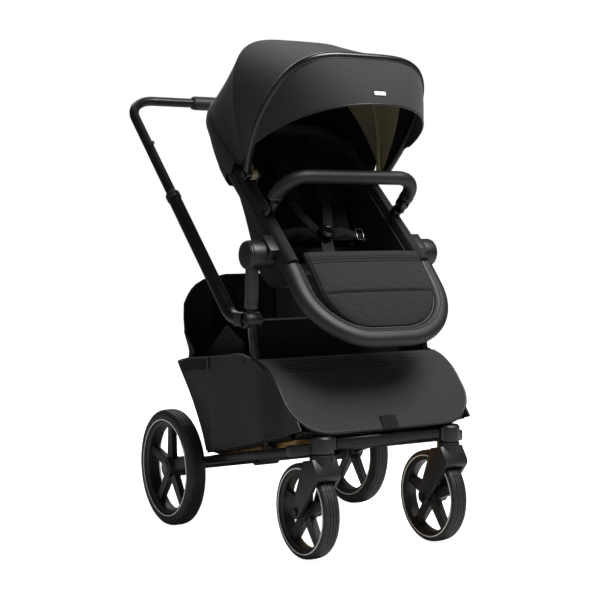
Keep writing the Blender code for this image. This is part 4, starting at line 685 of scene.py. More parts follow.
for label, side in sides:
    x, radius, wall = post["cover"]
    cover = disc("hubDisc_" + label, radius, wall, (side * x, *post["hub"]), 0.0008, 64)
    dress(cover, leatherette, "chassis", "black_plastic")
    for step in range(3):   # moulded rings on the adapter's foot
        centre = Vector((side * post["x"], post["foot"][0] - post["lean"] * step,
                post["foot"][1] + 0.005 + 0.005 * step))
        ring = circleAt(centre, post["stem"] + 0.0002, Vector((1, 0, 0)), Vector((0, 1, 0)), 48)
        dress(tubeAlong("adapterRing_" + label + str(step), ring, post["ring"], 2, True),
            smoothPlastic, "chassis", "black_plastic")
print("adapters made")


# Push handle: collar, bar and overlap are distances up its slope.
handle = {"pivot": (-0.2265, 0.545), "bend": (-0.133, 0.543), "bendRadius": 0.085,
    "rise": 43.5, "collar": 0.44, "collarLength": 0.02, "bar": 0.8208, "overlap": 0.1,
    "tube": 0.017, "inner": 0.013, "cornerRadius": 0.078, "gripRadius": 0.0195,
    "gripHalf": 0.046, "tubeStart": 0.0345, "cheek": 0.019, "cheekWall": 0.0045,
    "cheekOut": 0.01745, "rivetOut": 0.0205}


def handlePoint(distance):
    return beside(handle["bend"], handle["rise"], distance, 0.0)


for label, side in sides:
    x = side * post["x"]
    y, z = handle["pivot"]
    path = roundedPath([(x, y + handle["tubeStart"], z), atX(x, handle["bend"]),
            atX(x, handlePoint(handle["collar"]))], handle["bendRadius"], 24)
    main = tubeAlong("lowerTube_" + label, path, handle["tube"], 10)
    path = [atX(x, handlePoint(handle["collar"] + handle["collarLength"] * (s / 6 - 1)))
        for s in range(7)]
    collar = tubeAlong("collar_" + label, path, handle["tube"] + 0.0022, 10,
        taper=lambda s: 0.93 if s in (0, 1) else 1.0)
    cheeks = []
    for face in (1, -1):
        middle, wall = x + face * handle["cheekOut"], handle["cheekWall"]
        cheeks.append(disc("cheek", handle["cheek"], wall, (middle, y, z)))
        cheeks.append(block("cheekArm", (wall, 0.052, 0.033), (middle, y + 0.026, z)))
    dress(main, satinTube, "handle_frame", "satin_tube", "handle_lower_" + label)
    dress(joined("knuckleCheeks_" + label, *cheeks), blackPlastic, "handle_frame", "black_plastic")
    dress(collar, blackPlastic, "handle_frame", "black_plastic")
    rivet = disc("foldRivet_" + label, 0.006, 0.003, (x + side * handle["rivetOut"], y, z))
    dress(rivet, satinTube, "handle_frame", "satin_tube")

bar = handlePoint(handle["bar"])
start = handlePoint(handle["collar"] - handle["overlap"])
path = hoop(post["x"], start, bar, handle["cornerRadius"])
dress(tubeAlong("upperTube", path, handle["inner"], 10), satinTube, "handle_bar", "satin_tube",
    "handle_upper")
grip = tubeAlong("handGrip", [(x, *bar) for x in spread(handle["gripHalf"], 20)],
    handle["gripRadius"], 10, taper=lambda s: 1 - 0.22 * abs(2 * s - 1) ** 14)
dress(grip, leatherette, "handle_bar", "leatherette", "handle_grip")
print("handle made")


# Storage tub. The back's rows are height, y, half width and reach of the side wings.
tub = {"halfWidth": 0.2598, "nose": 0.239, "waist": 0.2505, "skirt": 0.2185, "wall": 0.003,
    "boardFront": (-0.384, 0.2805), "slope": -0.227, "boardGap": 0.0018, "bulge": 0.0035,
    "floorStops": (-0.376, -0.3, -0.2, -0.1, -0.008), "backCorner": 0.045,
    "tapes": (-0.15, -0.06, 0.06, 0.15), "loops": ((-0.215, 0.454), (-0.404, 0.348)),
    "hem": ((-0.424, 0.306), (-0.355, 0.287), (-0.272, 0.267), (-0.19, 0.2465),
        (-0.118, 0.229), (-0.01, 0.208)),
    "edge": ((-0.436, 0.31), (-0.413, 0.337), (-0.387, 0.37), (-0.356, 0.402),
        (-0.322, 0.426), (-0.273, 0.448), (-0.205, 0.462), (-0.14, 0.455),
        (-0.06, 0.4455), (0.01, 0.438), (0.068, 0.4315), (0.127, 0.42)),
    "back": ((0.201, -0.006, 0.249, 0.004), (0.263, 0.023, 0.249, 0.008),
        (0.302, 0.052, 0.252, 0.011), (0.351, 0.087, 0.256, 0.013),
        (0.397, 0.126, 0.254, 0.016), (0.42, 0.144, 0.238, 0.028),
        (0.438, 0.154, 0.233, 0.07), (0.462, 0.161, 0.234, 0.054),
        (0.49, 0.165, 0.236, 0.03), (0.527, 0.165, 0.231, 0.014),
        (0.565, 0.165, 0.223, 0.0), (0.596, 0.165, 0.206, 0.0),
        (0.616, 0.1645, 0.185, 0.0), (0.627, 0.164, 0.16, 0.0),
        (0.636, 0.164, 0.103, 0.0))}


def boardHeight(y, above):
    return tub["boardFront"][1] + tub["slope"] * (y - tub["boardFront"][0]) + above


def sideHalfWidth(y, z):
    # narrower at the nose, and low down behind
    width = mix(tub["halfWidth"], tub["nose"], clamped((-0.3 - y) / 0.06))
    behind = clamped((y + 0.075) / 0.045) * clamped((0.4 - z) / 0.15)
    return width - (tub["halfWidth"] - tub["waist"]) * behind


def sideRows(side, last=40, across=16):
    rows = []
    for index, (low, high) in enumerate(zip(smoothLine(tub["hem"], last + 1),
            smoothLine(tub["edge"], last + 1))):
        hollow = 0.013 * max(index - last + 8, 0) / 8   # the rear edge curves in
        row = []
        for share in shares(across):
            y, z = low.lerp(high, share)
            y -= hollow * sin(pi * share)
            fold = tub["bulge"] * sin(pi * share) * sin(pi * index / last)
            fold += 0.0007 * sin(31 * y + 3) * sin(19 * z + 1)
            row.append(Vector((side * (sideHalfWidth(y, z) - tub["wall"] / 2 + fold), y, z)))
        rows.append(row)
    return rows


for label, side in sides:
    rows = sideRows(side)
    sheet("tubSide_" + label, rows, tub["wall"], shellCloth, "chassis", ["floor_board"])
    out = Vector((side * 0.001, 0, 0))
    rear = [point + Vector((side * 0.0005, 0.001, 0)) for point in rows[-1]]
    nose = [point + Vector((side * 0.0005, -0.001, 0)) for point in rows[0]]
    edge = nose + [row[-1] + out for row in rows[1:]] + rear[-2::-1]
    piping("tubPiping_" + label, edge, 0.0026, pipingCloth, "chassis", resolution=4)
    piping("tubHem_" + label, [row[0] + out for row in rows], 0.002, pipingCloth, "chassis")
    skirt = []   # from the hem over the side rail to the floor
    for point in [row[0] for row in rows if row[0].y > tub["floorStops"][0]]:
        y = min(point.y, tub["floorStops"][-1])
        skirt.append([(side * tub["skirt"], y, boardHeight(y, tub["boardGap"])), point])
    dress(clothFrom("tubSkirt_" + label, skirt, 0.0022), liningCloth, "chassis", "shell_cloth")

noseHalf = tub["nose"] - 0.01
stops = [(-0.43, 0.304, noseHalf), (-0.403, 0.2965, noseHalf)]
stops += [(y, boardHeight(y, tub["boardGap"]), tub["skirt"]) for y in tub["floorStops"]]
rows = [[(x, y, z) for x in spread(half, 12)] for y, z, half in stops]
sheet("tubFloor", rows, 0.003, liningCloth, "chassis", ["floor_board"], "basket_tub", held="laid")

rows = []
for share in shares(36):
    z = mix(tub["back"][0][0], tub["back"][-1][0], share)
    y, half, wing = (tableValue(tub["back"], z, column) for column in (1, 2, 3))
    half -= tub["wall"] / 2
    inner = half - tub["backCorner"]
    wall = [(half - inset, y - reach * wing, z) for inset, reach in
        ((0, 1), (0.002, 0.75), (0.006, 0.42), (0.014, 0.14), (0.026, 0.02),
            (tub["backCorner"], 0))]
    middle = [(x, y + 0.002 * sin(9 * z) * cos(s), z) for s, x in enumerate(spread(inner, 14))]
    rows.append(mirrored(wall, middle[1:-1]))
sheet("tubBack", rows, tub["wall"], liningCloth, "chassis", ["floor_board"])
piping("backPiping", rimOf(rows[20:], 0), 0.0028, pipingCloth, "chassis", resolution=4)
for x in tub["tapes"]:   # seam tapes inside the back
    heights = [0.3 + 0.0155 * s for s in range(20)]
    line = [Vector((x, tableValue(tub["back"], z, 1) - 0.0032, z)) for z in heights]
    dress(sweptAlong("backTape", line, superOval(0.02, 0.0012, 4, 12), (0, -1, 0)), railSleeve,
        "chassis", "shell_cloth")

# Divider with its pale bound edge.
divider = {"y": -0.176, "top": 0.54, "half": 0.215, "wall": 0.006}
low = boardHeight(divider["y"], 0.006)
rows = []
for share in shares(12):
    sway, z = 0.0015 * sin(pi * share), mix(low, divider["top"], share)
    rows.append([(x, divider["y"] + sin(5 * s + 0.3) * sway, z)
            for s, x in enumerate(spread(divider["half"], 16))])
panel = clothFrom("tubDivider", rows, divider["wall"], 1)
dress(panel, liningCloth, "chassis", "lining_cloth", "basket_divider")
binding = [(x, divider["y"] - 0.002, divider["top"] + 0.0008) for x in spread(divider["half"], 20)]
piping("dividerBinding", binding, 0.0022, palePipingAndHighlight, "chassis", "lining_cloth", 4)

line = [row[-2].lerp(row[-1], 0.2) + Vector((-0.0028, 0, -0.006)) for row in sideRows(-1)[30:40]]
dress(sweptAlong("sideTag", line, superOval(0.0014, 0.026, 6), (0, 0, 1)), liningCloth,
    "chassis", "webbing")
for label, side in sides:
    zipPull = block("zipPull_" + label, (0.003, 0.007, 0.03), (side * 0.264, -0.042, 0.428), -10)
    dress(zipPull, webbing, "chassis", "webbing")
    for index, (y, z) in enumerate(tub["loops"]):
        out = sideHalfWidth(y, z) + 0.0008
        line = [(side * (out + 0.0035 * sin(pi * share)), y + 0.003 * share,
                z - 0.016 * share) for share in shares(8)]
        piping("tubLoop_" + label + str(index), line, 0.0018, webbing, "chassis", "webbing")

# Inner pocket flap by the post: its x and foot, and its upper line.
pocket = {"x": -0.225, "foot": 0.43, "behind": 0.016,
    "line": ((0.0092, 0.4441), (-0.01, 0.4624), (-0.0779, 0.5166), (-0.0982, 0.5155),
        (-0.1332, 0.4984), (-0.166, 0.4844), (-0.172, 0.4659))}
rows = [[Vector((pocket["x"] + 0.004 * sin(pi * share), point.x + pocket["behind"],
            mix(pocket["foot"], point.y, share))) for point in smoothLine(pocket["line"], 25)]
    for share in shares(8)]
sheet("tubPocket", rows, 0.0024, liningCloth, "chassis", ["basket_tub"], slot="lining_cloth")
piping("pocketPiping", rows[-1], 0.0018, railSleeve, "chassis", "lining_cloth")
print("tub made")


# Front lid with sewn channels, piping and a pull tab.
lid = {"line": ((-0.27, 0.456), (-0.308, 0.444), (-0.352, 0.417), (-0.396, 0.37),
        (-0.4325, 0.3215), (-0.4481, 0.3017)),
    "half": 0.2545, "corner": 0.095, "wall": 0.006, "outward": (0, -0.785, 0.62),
    "channels": (0.02, 0.032, 0.044, 0.056, 0.068), "channelWidth": 0.002}
line = smoothLine(lid["line"], 61)
lengths = lengthsOf(line)
rows = []
for index, (point, length, ahead) in enumerate(zip(line, lengths, headings(line))):
    room = lid["corner"] - min(lengths[-1] - length, lid["corner"])
    half = lid["half"] - lid["corner"] + sqrt(lid["corner"] ** 2 - room ** 2)
    sewn = sum(exp(-((length - place) / lid["channelWidth"]) ** 2) for place in lid["channels"])
    row = []
    for u in spread(1, 48):
        lift = -lid["wall"] / 2 - 0.0026 * sewn * (1 - abs(u) ** 12)
        lift += 0.0012 * sin(3.1 * u + 1) * sin(pi * index / 60)
        row.append(atX(half * u, point + Vector((ahead.y, -ahead.x)) * lift))
    rows.append(row)
# the lid's canvas is painted lighter, as the light that falls on it
sheet("lidFlap", rows, lid["wall"], visorCloth, "lid", ["basket_tub"], "basket_lid")
piping("lidPiping", rimOf(rows), 0.0036, pipingCloth, "lid", resolution=5)
outward = Vector(lid["outward"])
line = [row[24] + outward * 0.0048 for row in rows[47:]]
end = (line[-1] - line[-2]).normalized()
line += [line[-1] + end * 0.0015 * s for s in range(1, 4)]
dress(sweptAlong("lidTab", line, superOval(0.044, 0.003, 5, 24), outward), liningCloth, "lid",
    "shell_cloth")
print("lid made")


# Seat: distances run up the side rail, depths lie under it.
seat = {"foot": (-0.313, 0.668), "angle": 42.5, "half": 0.182, "rail": 0.0145,
    "length": 0.513, "cornerRadius": 0.11, "railUp": (0, -0.676, 0.737),
    "depths": ((0.012, 0.03), (0.034, 0.09), (0.083, 0.138), (0.15, 0.15), (0.22, 0.125),
        (0.3, 0.095), (0.42, 0.06), (0.49, 0.038)),
    "shellFloor": 0.15, "shellWall": 0.006, "bandHalf": 0.185, "bandSeamHalf": 0.2025,
    "rollHalf": 0.176, "seamHalf": 0.1905}


def seatPoint(distance, depth=0.0):
    return beside(seat["foot"], seat["angle"], distance, depth)


def railRoom(distance):
    rise = max(distance - (seat["length"] - seat["cornerRadius"]), 0)
    bend = seat["cornerRadius"] - sqrt(seat["cornerRadius"] ** 2 - rise ** 2)
    return seat["half"] - seat["rail"] - 1.6 * bend


path = hoop(seat["half"], seatPoint(0.0003), seatPoint(seat["length"]), seat["cornerRadius"], 24)
dress(tubeAlong("seatRail", path, seat["rail"], 10), railSleeve, "seat", "shell_cloth",
    "seat_frame")
for label, side in sides:   # canvas band round the rail, as deep as the seat's side
    line = [atX(side * seat["bandHalf"], seatPoint(0.004 + 0.0125 * s, 0.002 + 0.00035 * s))
        for s in range(29)]
    dress(sweptAlong("railBand_" + label, line, superOval(0.034, 0.052, 2.6, 32), seat["railUp"]),
        railSleeve, "seat", "shell_cloth")
    line = [atX(side * seat["bandSeamHalf"], seatPoint(0.008 + 0.0125 * s, 0.001))
        for s in range(28)]
    piping("bandSeam_" + label, line, 0.0012, pipingCloth, "seat")
roll = hoop(seat["rollHalf"], seatPoint(0.03, -0.0165), seatPoint(0.505, -0.012), 0.108)
edgeRoll = tubeAlong("seatEdgeRoll", roll, 0.0115, 8,
    taper=lambda s: min(1, 0.35 + 9 * min(s, 1 - s)))
dress(edgeRoll, shellCloth, "seat", "shell_cloth")
seam = hoop(seat["seamHalf"], seatPoint(0.012, -0.0125), seatPoint(0.5, -0.0125), 0.118)
piping("railSeam", seam, 0.0014, pipingCloth, "seat")
for label, side in sides:   # cuff where the sleeve ends on the leg loop
    line = [atX(side * seat["half"], seatPoint(0.002 + 0.004 * s)) for s in range(6)]
    piping("railCuff_" + label, line, seat["rail"] + 0.0022, railSleeve, "seat", resolution=8)

# Leg loop, with its parting line and the bead on its inner edge, painted pale grey as a highlight.
loop = {"angle": 48.5, "length": 0.21, "width": 0.046, "depth": 0.038, "corner": 0.144,
    "half": 0.188}
bottom = along(seat["foot"], loop["angle"], -loop["length"])
loopUp = squareTo(loop["angle"])
path = hoop(loop["half"], seat["foot"], bottom, loop["corner"], 28)
# the leg loop's plastic is painted darker, as the shade on its lower face
dress(sweptAlong("legLoop", path, superOval(loop["width"], loop["depth"], 2.3, 36), loopUp),
    loopPlastic, "seat", "black_plastic", "leg_loop")


def loopOffset(inward, up):
    middle = sum(path, Vector()) / len(path)
    result = []
    for point, ahead in zip(path, headings(path)):
        sideways = ahead.cross(loopUp).normalized()
        if sideways.dot(middle - point) < 0:
            sideways = -sideways
        result.append(point + sideways * inward + loopUp * up)
    return result


piping("loopParting", loopOffset(0.005, 0.0187), 0.0009, liningCloth, "seat", "black_plastic")
# the bead's pale grey is a painted highlight along the loop's inner edge
piping("loopBeadPaintedHighlight", loopOffset(0.019, 0.0112), 0.0014, palePipingAndHighlight, "seat", "black_plastic")


# Pads: a crowned closed form on a spine. A channel has its place, width and depth.

def padFrom(name, points, halfAt, thickness, channels, rows=60, across=40, drawIn=0.03, threads=()):
    line = smoothLine(points, rows)
    lengths = lengthsOf(line)
    crown = 0.004
    top, under = [], []
    for point, length, ahead in zip(line, lengths, headings(line)):
        share = length / lengths[-1]
        normal = Vector((0, -ahead.y, ahead.x))
        drawn = 1 - drawIn * sin(pi * share)
        swellEnd = max(sin(pi * (0.03 + 0.94 * share)), 0) ** 0.45
        sewn = min(sum(depth * exp(-((length - place) / width) ** 2)
                for place, width, depth in channels), 1.0)
        topRow, underRow = [], []
        for turn in spread(1, across):
            u = sin(pi / 2 * turn)
            swell = swellEnd * sqrt(max(1 - abs(u) ** 5, 0.0))
            height = thickness * (0.22 + 0.78 * swell) / 2
            groove = 0.006 * sewn * (1 - abs(u) ** 16)
            puff = 0.0008 * sin(17 * u + 40 * share) * sin(23 * share + 2)
            place = atX(0, point) + Vector((halfAt(share) * drawn * u, 0, 0))
            topRow.append(place + normal * (height + crown * swell - groove + puff * swell))
            underRow.append(place - normal * height)
        top.append(topRow)
        under.append(underRow)
    for number, place in enumerate(threads):   # sewing thread laid in the channels
        nearest = min(range(rows), key=lambda index: abs(lengths[index] - place))
        piping(name + "Thread" + str(number), top[nearest][2:-2], 0.0015, liningCloth, "seat")
    if threads:
        for number, column in enumerate((4, across - 4)):
            edge = [row[column] for row in top[3:-1]]
            piping(name + "Border" + str(number), edge, 0.0012, liningCloth, "seat")
    rings = [topRow + underRow[::-1] for topRow, underRow in zip(top, under)]
    return settled(edited(fromRows(name, rings, True), capped), 70)


footrest = {"top": (-0.323, 0.701), "angle": 55.5, "length": 0.205, "half": 0.1625,
    "thickness": 0.032, "sag": -0.006, "threads": (0.086, 0.17, 0.179, 0.188)}
low = along(footrest["top"], footrest["angle"], -footrest["length"])
bow = beside(footrest["top"], footrest["angle"], -footrest["length"] / 2, footrest["sag"])


def footrestHalf(share):
    # as wide as the leg loop leaves room for
    spot = Vector(low).lerp(Vector(footrest["top"]), share)
    height = (spot - Vector(bottom)).dot(Vector(along((0, 0), loop["angle"], 1)))
    bend = loop["corner"] - loop["width"] / 2
    near = min(max(loop["corner"] - height, 0), bend)
    room = loop["half"] - loop["corner"] + sqrt(bend ** 2 - near ** 2)
    return min(footrest["half"], room - 0.0012)


calfPad = padFrom("calfPad", (low, bow, footrest["top"]), footrestHalf, footrest["thickness"],
    ((0.086, 0.003, 1.0), (0.17, 0.0016, 0.6), (0.179, 0.0016, 0.6),
        (0.188, 0.0016, 0.5)), 90, 48, 0.015, footrest["threads"])
dress(calfPad, padCloth, "seat", "shell_cloth", "footrest_pad")

pads = {"cushionHalf": 0.14, "cushion": 0.03, "backHalf": 0.136, "back": 0.028, "backStart": 0.205}
clear = seat["shellWall"] / 2 + pads["cushion"] / 2 + 0.001
spine = ((0.05, 0.096 - 0.8 * clear), (0.088, 0.136 - clear), (0.138, 0.15 - clear))
cushion = padFrom("seatCushion", [seatPoint(*spot) for spot in spine],
    lambda share: pads["cushionHalf"], pads["cushion"],
    ((0.035, 0.002, 0.6), (0.065, 0.002, 0.6)))
dress(cushion, liningCloth, "seat", "lining_cloth", "seat_cushion")
clear = seat["shellWall"] / 2 + pads["back"] / 2 + 0.002
spine = ((pads["backStart"], 0.13 - clear), (0.3, 0.094 - clear), (0.42, 0.06 - clear),
    (0.484, 0.04 - clear))
backPad = padFrom("backrestPad", [seatPoint(*spot) for spot in spine],
    lambda share: min(pads["backHalf"],
        railRoom(mix(pads["backStart"], 0.49, share)) - 0.024),
    pads["back"], ((0.08, 0.002, 0.6), (0.15, 0.002, 0.6), (0.22, 0.002, 0.6)))
dress(backPad, liningCloth, "seat", "lining_cloth", "backrest_pad")

# The bucket between the rails.
rows = []
for distance, depth in smoothLine(seat["depths"], 49):
    room = railRoom(distance) - seat["shellWall"] / 2 - 0.0003
    floorHalf = min(seat["shellFloor"], room)
    wall = []
    for share in shares(8):
        bulge = 0.003 * sin(pi * share)
        wall.append(atX(mix(room, floorHalf, share ** 1.4) - bulge * 0.3,
                seatPoint(distance, depth * share)))
    middle = [atX(x, seatPoint(distance, depth)) for x in spread(floorHalf, 20)[1:-1]]
    rows.append(mirrored(wall, middle))
sheet("seatBucket", rows, seat["shellWall"] * 0.8, railSleeve, "seat", ["seat_frame"], "seat_shell")

# Cloth tray behind the upper frame.
cover = {"start": 0.38, "gap": 0.004, "backRoom": 0.01, "corner": 0.036, "wall": 0.003}
outer = seat["half"] + seat["rail"] + cover["gap"]
bend = seat["cornerRadius"] + outer - seat["half"]
rows = []
for index in range(41):
    share = sin(pi / 2 * index / 40)
    distance = mix(cover["start"], seat["length"] + seat["rail"], share)
    rise = max(distance - (seat["length"] - seat["cornerRadius"]), 0)
    half = outer - bend + sqrt(bend ** 2 - rise ** 2)
    depth = tableValue(seat["depths"], distance, 1) + cover["backRoom"]
    depth -= max(distance - 0.49, 0) * 0.6
    corner = min(cover["corner"], 0.55 * depth)
    if index < 8:   # rounded lower corner
        corner *= 0.35 + 0.65 * sqrt(1 - (1 - index / 8) ** 2)
    wall = [(half, -0.004), (half + 0.001, 0.3 * corner), (half + 0.0005, 0.7 * corner),
        (half - 0.002, corner), (half - 0.007, mix(corner, depth, 0.35)),
        (half - 0.014, mix(corner, depth, 0.66)), (0.84 * half, mix(corner, depth, 0.93)),
        (0.7 * half, depth), (0.4 * half, depth + 0.001)]
    rows.append(mirrored([atX(x, seatPoint(distance, d)) for x, d in wall],
            [atX(0, seatPoint(distance, depth + 0.001))]))
sheet("backTray", rows, cover["wall"], shellCloth, "seat", ["seat_frame"], "backrest_cover",
    levels=1)
piping("trayPiping", rimOf(rows[::-1]), 0.0022, pipingCloth, "seat", resolution=4)
print("seat made")


# Harness.
harness = {"buckle": (-0.164, 0.742), "spread": 0.052, "width": 0.026, "wall": 0.0024,
    "facing": (0, -0.75, 0.66), "padWidth": 0.044, "padDepth": 0.013, "padRise": 0.0095,
    "slider": (0.073, -0.2085, 0.7445), "sliderHalf": (0.0105, 0.0145)}
facing = Vector(harness["facing"]).normalized()
centre = atX(0, harness["buckle"])
band = superOval(harness["width"], harness["wall"], 5)
straps = []
for label, side in sides:
    upper = atX(side * harness["spread"], seatPoint(0.43, 0.0185))
    lower = atX(side * harness["spread"] * 0.9, seatPoint(0.26, 0.04))
    line = smoothLine([upper, upper.lerp(lower, 0.5) + facing * 0.002, lower,
            centre + Vector((side * 0.01, 0, 0))], 40)
    straps.append(sweptAlong("shoulderStrap", line, band, facing))
    waist = [atX(side * 0.15, seatPoint(0.19, 0.085)), atX(side * 0.11, seatPoint(0.186, 0.07)),
        atX(side * 0.06, seatPoint(0.178, 0.05)), centre]
    straps.append(sweptAlong("waistStrap", smoothLine(waist, 30), band, facing))
    normal = Vector((1, 0, 0)).cross((lower - upper).normalized())
    if normal.z < 0:
        normal = -normal
    start, stop = (upper.lerp(lower, share) + normal * harness["padRise"] for share in (0.1, 0.92))
    line = [start.lerp(stop, share) for share in shares(24)]
    pad = sweptAlong("shoulderPadSleeve_" + label, line,
        superOval(harness["padWidth"], harness["padDepth"], 3, 28), normal)
    dress(pad, liningCloth, "seat", "lining_cloth", "shoulder_pad_" + label)
    edge = [point + Vector((side * 0.021, 0, 0)) + normal * 0.002 for point in line]
    piping("padEdge_" + label, edge, 0.0012, pipingCloth, "seat", "lining_cloth")
foot = atX(0, seatPoint(0.085, 0.088))
crotch = smoothLine([centre, centre.lerp(foot, 0.5) + Vector((0, -0.004, 0)), foot], 20)
straps.append(sweptAlong("crotchStrap", crotch, superOval(0.036, 0.003, 5), (0, -1, 0.3)))
dress(joined("beltStraps", *straps), webbing, "seat", "webbing", "harness_straps")
aside = Vector((1, 0, 0))
ring = circleAt(centre + facing * 0.0192, 0.0125, aside, aside.cross(facing), 40)
dress(tubeAlong("buckleButtonRing", ring, 0.0009, 3, True), chrome, "seat", "black_plastic")
aside = Vector((0.97, 0.1, -0.06)).normalized() * harness["sliderHalf"][0]
upward = Vector((0, 0.42, 0.91)).normalized() * harness["sliderHalf"][1]
line = [Vector(harness["slider"]) + aside * a + upward * b for a, b in boxCorners]
dress(tubeAlong("beltSlider", line, 0.0012, 4, True), chrome, "seat", "black_plastic")
print("harness made")


# Bumper bar.
bumper = {"pivot": (-0.2255, 0.82), "bar": (-0.2925, 0.882), "half": 0.188, "radius": 0.017,
    "corner": 0.06, "padStart": 0.0175, "forkOut": 0.0088}
pivot = Vector(bumper["pivot"])
ahead = (Vector(bumper["bar"]) - pivot).normalized()
path = hoop(bumper["half"], pivot + ahead * bumper["padStart"], bumper["bar"], bumper["corner"], 24)
dress(tubeAlong("bumperPad", path, bumper["radius"], 11,
        taper=lambda s: min(1.0, 0.86 + 14 * min(s, 1 - s))), leatherette, "bumper",
    "leatherette", "bumper_bar")
under = Vector((0, 0.4, -0.9)).normalized() * (bumper["radius"] - 0.0004)
piping("bumperSeam", [point + under for point in path], 0.0011, liningCloth, "bumper",
    "leatherette")
turn = degrees(atan2(ahead.y, ahead.x)) - 90
for label, side in sides:
    parts = []
    for face in (1, -1):
        middle = side * bumper["half"] + face * bumper["forkOut"]
        parts.append(disc("forkEye", 0.0135, 0.005, atX(middle, pivot), 0.0012))
        parts.append(block("forkArm", (0.005, 0.026, 0.03), atX(middle, pivot + ahead * 0.013),
                turn, 0.0012))
    line = [atX(side * bumper["half"], pivot + ahead * (0.018 + 0.002 * s)) for s in range(7)]
    parts.append(tubeAlong("forkCollar", line, 0.018, 8,
            taper=lambda s: 0.92 if s in (0, 1) else 1.0))
    dress(joined("bumperFork_" + label, *parts), smoothPlastic, "bumper", "black_plastic")
print("bumper made")


# Canopy: arches round one pivot, with cloth drawn between them.
# An arch has its angle, height, squareness and half width.
hood = {"pivot": (-0.1275, 0.89), "footHalf": 0.2, "drawIn": 0.55,
    "rear": (38.7, 0.3362, 4.2, 0.212), "middle": (75.5, 0.3501, 4.2, 0.215),
    "front": (127.0, 0.342, 3.9, 0.224), "cloth": 0.0026, "bow": 0.0065, "inset": 0.0105,
    "lining": 0.0012, "khaki": 23, "curtain": 0.0016, "flap": (0.03, 0.068),
    "visorFoot": 0.085, "visorLift": 23.0, "visorReach": 0.24, "visorHalf": 0.22,
    "visorSquareness": 2.2, "visorBulge": 0.008, "tagHalf": 0.0155}
columns = 72


def archPoint(arch, turn, inset=0.0, footHalf=hood["footHalf"]):
    degrees, height, squareness, half = arch
    climb = sin(turn) ** (2 / squareness)
    half -= inset
    reach = half * abs(cos(turn)) ** (2 / squareness)
    drawIn = max(1 - climb / hood["drawIn"], 0) ** 2 * min(2 * abs(cos(turn)), 1)
    reach -= (half - footHalf) * drawIn
    return atX(copysign(reach, cos(turn)), along(hood["pivot"], degrees, (height - inset) * climb))


def archTurns(arch, foot, count=columns):
    low = asin((foot / arch[1]) ** (arch[2] / 2))
    return [low + (pi - 2 * low) * (share + 0.04 * sin(4 * pi * share)) for share in shares(count)]


def panelRows(start, end, endGap, rows, sag, inset=0.0, foot=0.04):
    first = [archPoint(start, turn, inset) for turn in archTurns(start, foot)]
    second = [archPoint(end, turn, inset) - squareTo(end[0]) * endGap
        for turn in archTurns(end, foot)]
    middle = atX(0, along(hood["pivot"], (start[0] + end[0]) / 2, 0.12))
    grid = []
    for share in shares(rows):
        spots = [near.lerp(far, share) for near, far in zip(first, second)]
        grid.append([spot + (middle - spot).normalized() * sag * 4 * share * (1 - share)
                for spot in spots])
    return grid


midBow = ["canopy_mid_bow"]
rearSpan = ("seat", "hood_middle", hood["rear"], hood["middle"])
frontSpan = ("hood_middle", "hood_front", hood["middle"], hood["front"])
rearRows = panelRows(hood["rear"], hood["middle"], 0.0, 20, 0.0035)
sheet("hoodRear", rearRows, hood["cloth"], shellCloth, rearSpan, midBow, "canopy_rear_panel")
sheet("hoodFront", panelRows(hood["middle"], hood["front"], 0.005, 24, 0.003), hood["cloth"],
    shellCloth, frontSpan, ["canopy_mid_bow", "canopy_front_bow"], "canopy_front_panel")

linings = (("Rear", 0.0, rearSpan, slice(7, 21), -2), ("Front", 0.01, frontSpan, slice(0, 15), 1))
for name, gap, span, khakiRows, tapeRow in linings:
    inner = panelRows(span[2], span[3], gap, 20, 0.0035, 0.0038, 0.012)
    sheet("hoodLining" + name, inner, hood["lining"], liningCloth, span, midBow,
        slot="lining_cloth")
    inner = panelRows(span[2], span[3], gap, 20, 0.0035, 0.0058, 0.018)
    for label, side in sides:   # khaki lining low on each side of the middle bow
        part = [row[columns - 22:] if side < 0 else row[:hood["khaki"]] for row in inner[khakiRows]]
        sheet("khaki" + name + "_" + label, part, hood["lining"], khakiLining, span, midBow,
            slot="lining_cloth")
        tape = [point - Vector((side * 0.0016, 0, 0)) for point in part[tapeRow]]
        strip = sweptAlong("khakiTape" + name + "_" + label, tape, superOval(0.007, 0.0012, 4, 12),
            (1, 0, 0))
        dress(strip, khakiLining, span, "lining_cloth")

# Flap behind the rear arch, and the dark curtain from it to the seat's top.
behind = -squareTo(hood["rear"][0])
rows = [[] for step in range(7)]
for turn in archTurns(hood["rear"], 0.052):
    spot = archPoint(hood["rear"], turn)
    climb = (spot - atX(spot.x, hood["pivot"])).length
    depth = mix(*hood["flap"], clamped((0.2 - climb) / 0.13))
    depth *= sqrt(1 - max(0.08 - climb, 0) ** 2 / 0.036 ** 2)
    for share, row in zip(shares(6), rows):
        out = Vector((copysign(0.0035 * sin(pi * share), spot.x), 0, 0))
        row.append(spot + behind * (depth * share + 0.001) + out)
sheet("hoodValance", rows, hood["cloth"], shellCloth, "seat", ["canopy_rear_panel"], held="hung",
    levels=1)
piping("valancePiping", rows[-1], 0.0022, pipingCloth, "seat", resolution=4)
half = seat["half"] + seat["rail"] - 0.004
rim = evenly(hoop(half, seatPoint(0.36, 0.006), seatPoint(0.523, 0.006), 0.118), columns + 1)
arch = [archPoint(hood["rear"], turn, 0.004) for turn in archTurns(hood["rear"], 0.06)]
rows = [[low.lerp(high, share) for low, high in zip(rim, arch[::-1])] for share in shares(10)]
sheet("hoodCurtain", rows, hood["curtain"], liningCloth, "seat",
    ["canopy_rear_panel", "seat_frame"], held="hung", slot="lining_cloth")

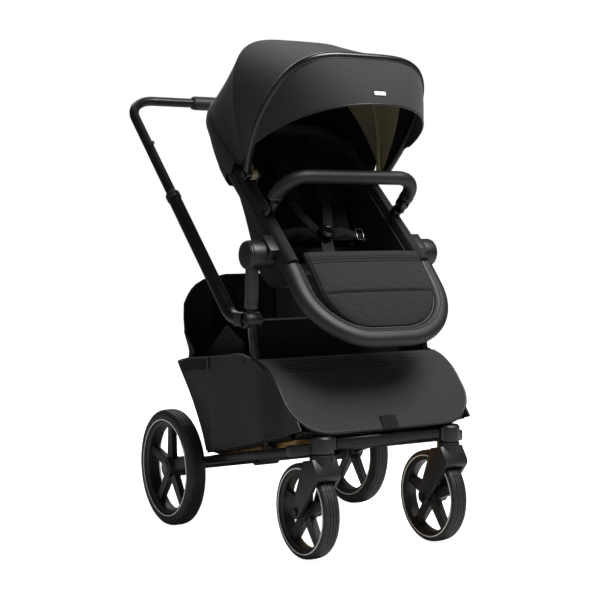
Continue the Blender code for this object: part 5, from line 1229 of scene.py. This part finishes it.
piping("hoodRearPiping", rearRows[0], 0.0028, pipingCloth, "seat", resolution=4)
piping("hoodMiddleSeam", rearRows[-1], 0.0016, pipingCloth, "hood_middle")
for name, arch, inset, footHalf, size, body, node, finish in (
        ("middleBow", hood["middle"], hood["inset"], 0.1839, 1, "hood_middle", "canopy_mid_bow",
        khakiLining),
        ("frontBow", hood["front"], 0.0, 0.2, 1.35, "hood_front", "canopy_front_bow",
        smoothPlastic)):
    path = [archPoint(arch, turn, inset, footHalf) for turn in archTurns(arch, 0.01, 90)]
    parts = [tubeAlong(name, path, hood["bow"] * size, 8)]
    for label, side in sides:
        parts.append(disc("bowEye", 0.013, 0.015, (side * footHalf, *hood["pivot"]), 0.0015))
    dress(joined(name, *parts), finish, body, "black_plastic", node)

# Visor: from the front bow out to its own flat arch.
ahead = squareTo(hood["front"][0])
power = 2 / hood["visorSquareness"]
base = along(hood["pivot"], hood["front"][0], hood["visorFoot"])
turns = archTurns(hood["front"], hood["visorFoot"])
rows = []
for share in shares(22):
    row = []
    for step, turn in enumerate(turns):
        near = archPoint(hood["front"], turn) + ahead * 0.0058
        sweep = pi * (0.03 + 0.94 * step / columns)
        x = hood["visorHalf"] * powered(cos(sweep), power)
        reach = hood["visorReach"] * sin(sweep) ** power
        far = atX(x, along(base, 180 - hood["visorLift"], reach)) + ahead * 0.0075
        bulge = hood["visorBulge"] * 4 * share * (1 - share) * sin(sweep)
        row.append(near.lerp(far, share) + Vector((0, -0.6, 0.8)) * bulge)
    rows.append(row)
# the visor's canvas is painted lighter, as the light that falls on it
sheet("visor", rows, hood["cloth"], visorCloth, "hood_front", ["canopy_front_bow"], "canopy_visor")
piping("visorHem", rows[-1], 0.0024, pipingCloth, "hood_front", resolution=4)
piping("visorSeam", [point + Vector((0, -0.001, 0.001)) for point in rows[1]], 0.0014, pipingCloth,
    "hood_front")
aside = (rows[18][35] - rows[18][37]).normalized()
upward = (rows[15][36] - rows[21][36]).normalized()
outward = aside.cross(upward).normalized()
if outward.y > 0:
    outward = -outward
line = [rows[18][36] + outward * 0.003 + aside * place for place in spread(hood["tagHalf"], 16)]
dress(sweptAlong("visorTag", line, superOval(0.01, 0.002, 2.6, 24), outward), paleTag,
    "hood_front", "webbing")
print("canopy made")
